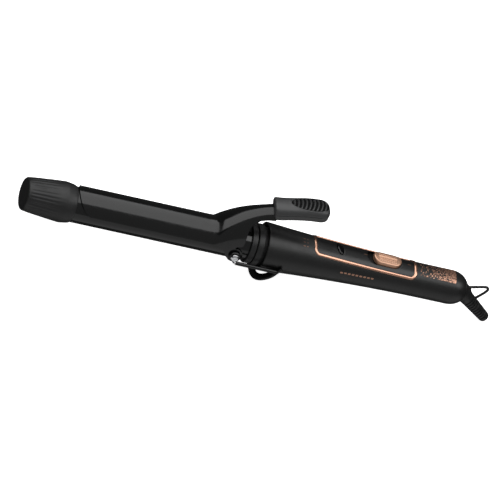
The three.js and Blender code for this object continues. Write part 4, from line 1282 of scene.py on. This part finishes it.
loop = {"thick": 0.98}
loopPoints = [
    (170.6, 0, 2.95), (174, 0, 3.95), (178.5, 0, 5.3), (182.6, 0, 6.5), (184.9, 0, 6.55),
    (186.1, 0, 5.1), (185.6, 0, 2.9), (183.6, 0, -0.4), (181.2, 0, -3.8), (180.2, 0, -5.2),
]
loopShape = rod(smoothLine(loopPoints, 10), loop["thick"], 18)
addPiece("hangLoop", loopShape, "bootRubber", "swivel", ["hang_loop"], 60)
print("tail done")

# floor, lights and camera
studio = {
    "floor": 14.0,
    "glow": 0.95,
    "room": 0.045,
    # each box: place from the iron's middle, width along x and depth along y, radiance
    "topBox": {"place": (-0.6, 0.13, 1.0), "size": (2.0, 1.6), "radiance": 1.8},
    "tailBox": {"place": (1.1, -0.42, 1.0), "size": (1.4, 0.8), "radiance": 2.5},
    "frontBox": {"place": (0.1, -1.9, 0.7), "size": (4.0, 2.8), "radiance": 0.2},
    "underBox": {"place": (0.1, -0.92, -0.92), "size": (4.0, 1.5), "radiance": 0.5},
}
middle = inFrame(14.5, 0, -6.1)


def addStagePiece(name, verts, faces):
    mesh = bpy.data.meshes.new(name)
    mesh.from_pydata(verts, [], faces)
    mesh.materials.append(finish("floorPaper"))
    piece = bpy.data.objects.new(name, mesh)
    scene.collection.objects.link(piece)
    # seen and shadowed, but it throws no light of its own back on the iron
    piece.visible_glossy = False
    piece.visible_diffuse = False
    piece.visible_shadow = False
    return piece


far = studio["floor"]
paper = finish("floorPaper").node_tree.nodes["Principled BSDF"]
paper.inputs["Emission Color"].default_value = (1, 1, 1, 1)
paper.inputs["Emission Strength"].default_value = studio["glow"]
floorZ = min(0, cadLow.z) - 0.0005
corners = [(-far, -far, floorZ), (far, -far, floorZ), (far, far, floorZ), (-far, far, floorZ)]
addStagePiece("floor", corners, [(0, 1, 2, 3)])
domeAngles = [math.pi * k / 24 for k in range(25)]
domeRadius = far * 1.3
dome = turned([(domeRadius * math.cos(a), domeRadius * math.sin(a)) for a in domeAngles], 48)
addStagePiece("backdrop", *dome)

for name in ("topBox", "tailBox", "frontBox", "underBox"):
    box = studio[name]
    lamp = bpy.data.lights.new(name, "AREA")
    lamp.shape = "RECTANGLE"
    lamp.size, lamp.size_y = box["size"]
    lamp.energy = box["radiance"] * math.pi * lamp.size * lamp.size_y
    holder = bpy.data.objects.new(name, lamp)
    holder.location = middle + Vector(box["place"])
    if name in ("frontBox", "underBox"):
        holder.rotation_euler = (holder.location - middle).to_track_quat("Z", "Y").to_euler()
    holder.visible_camera = False
    scene.collection.objects.link(holder)

world = bpy.data.worlds.new("room")
world.use_nodes = True
world.node_tree.nodes["Background"].inputs["Color"].default_value = (studio["room"],) * 3 + (1,)
scene.world = world
scene.view_settings.view_transform = "Standard"

cameraSet = {
    "lens": 1200.0,
    "sensor": 36,
    "width": 0.342,  # how much of the iron's length the frame holds, in metres
    "toCamera": (-0.3091, -0.7285, 0.6113),
    "up": (-0.2042, 0.6786, 0.7055),
}
lens = bpy.data.cameras.new("camera")
lens.lens = cameraSet["lens"]
lens.sensor_width = cameraSet["sensor"]
lens.clip_start, lens.clip_end = 0.05, 50
camera = bpy.data.objects.new("camera", lens)
scene.collection.objects.link(camera)
back = Vector(cameraSet["toCamera"]).normalized()
up = Vector(cameraSet["up"])
up = (up - back * up.dot(back)).normalized()
right = up.cross(back)
camera.matrix_world = Matrix((right, up, back)).transposed().to_4x4()
camera.location = middle + back * (cameraSet["width"] * cameraSet["lens"] / cameraSet["sensor"])
scene.camera = camera
print("studio done")

bpy.context.view_layer.update()
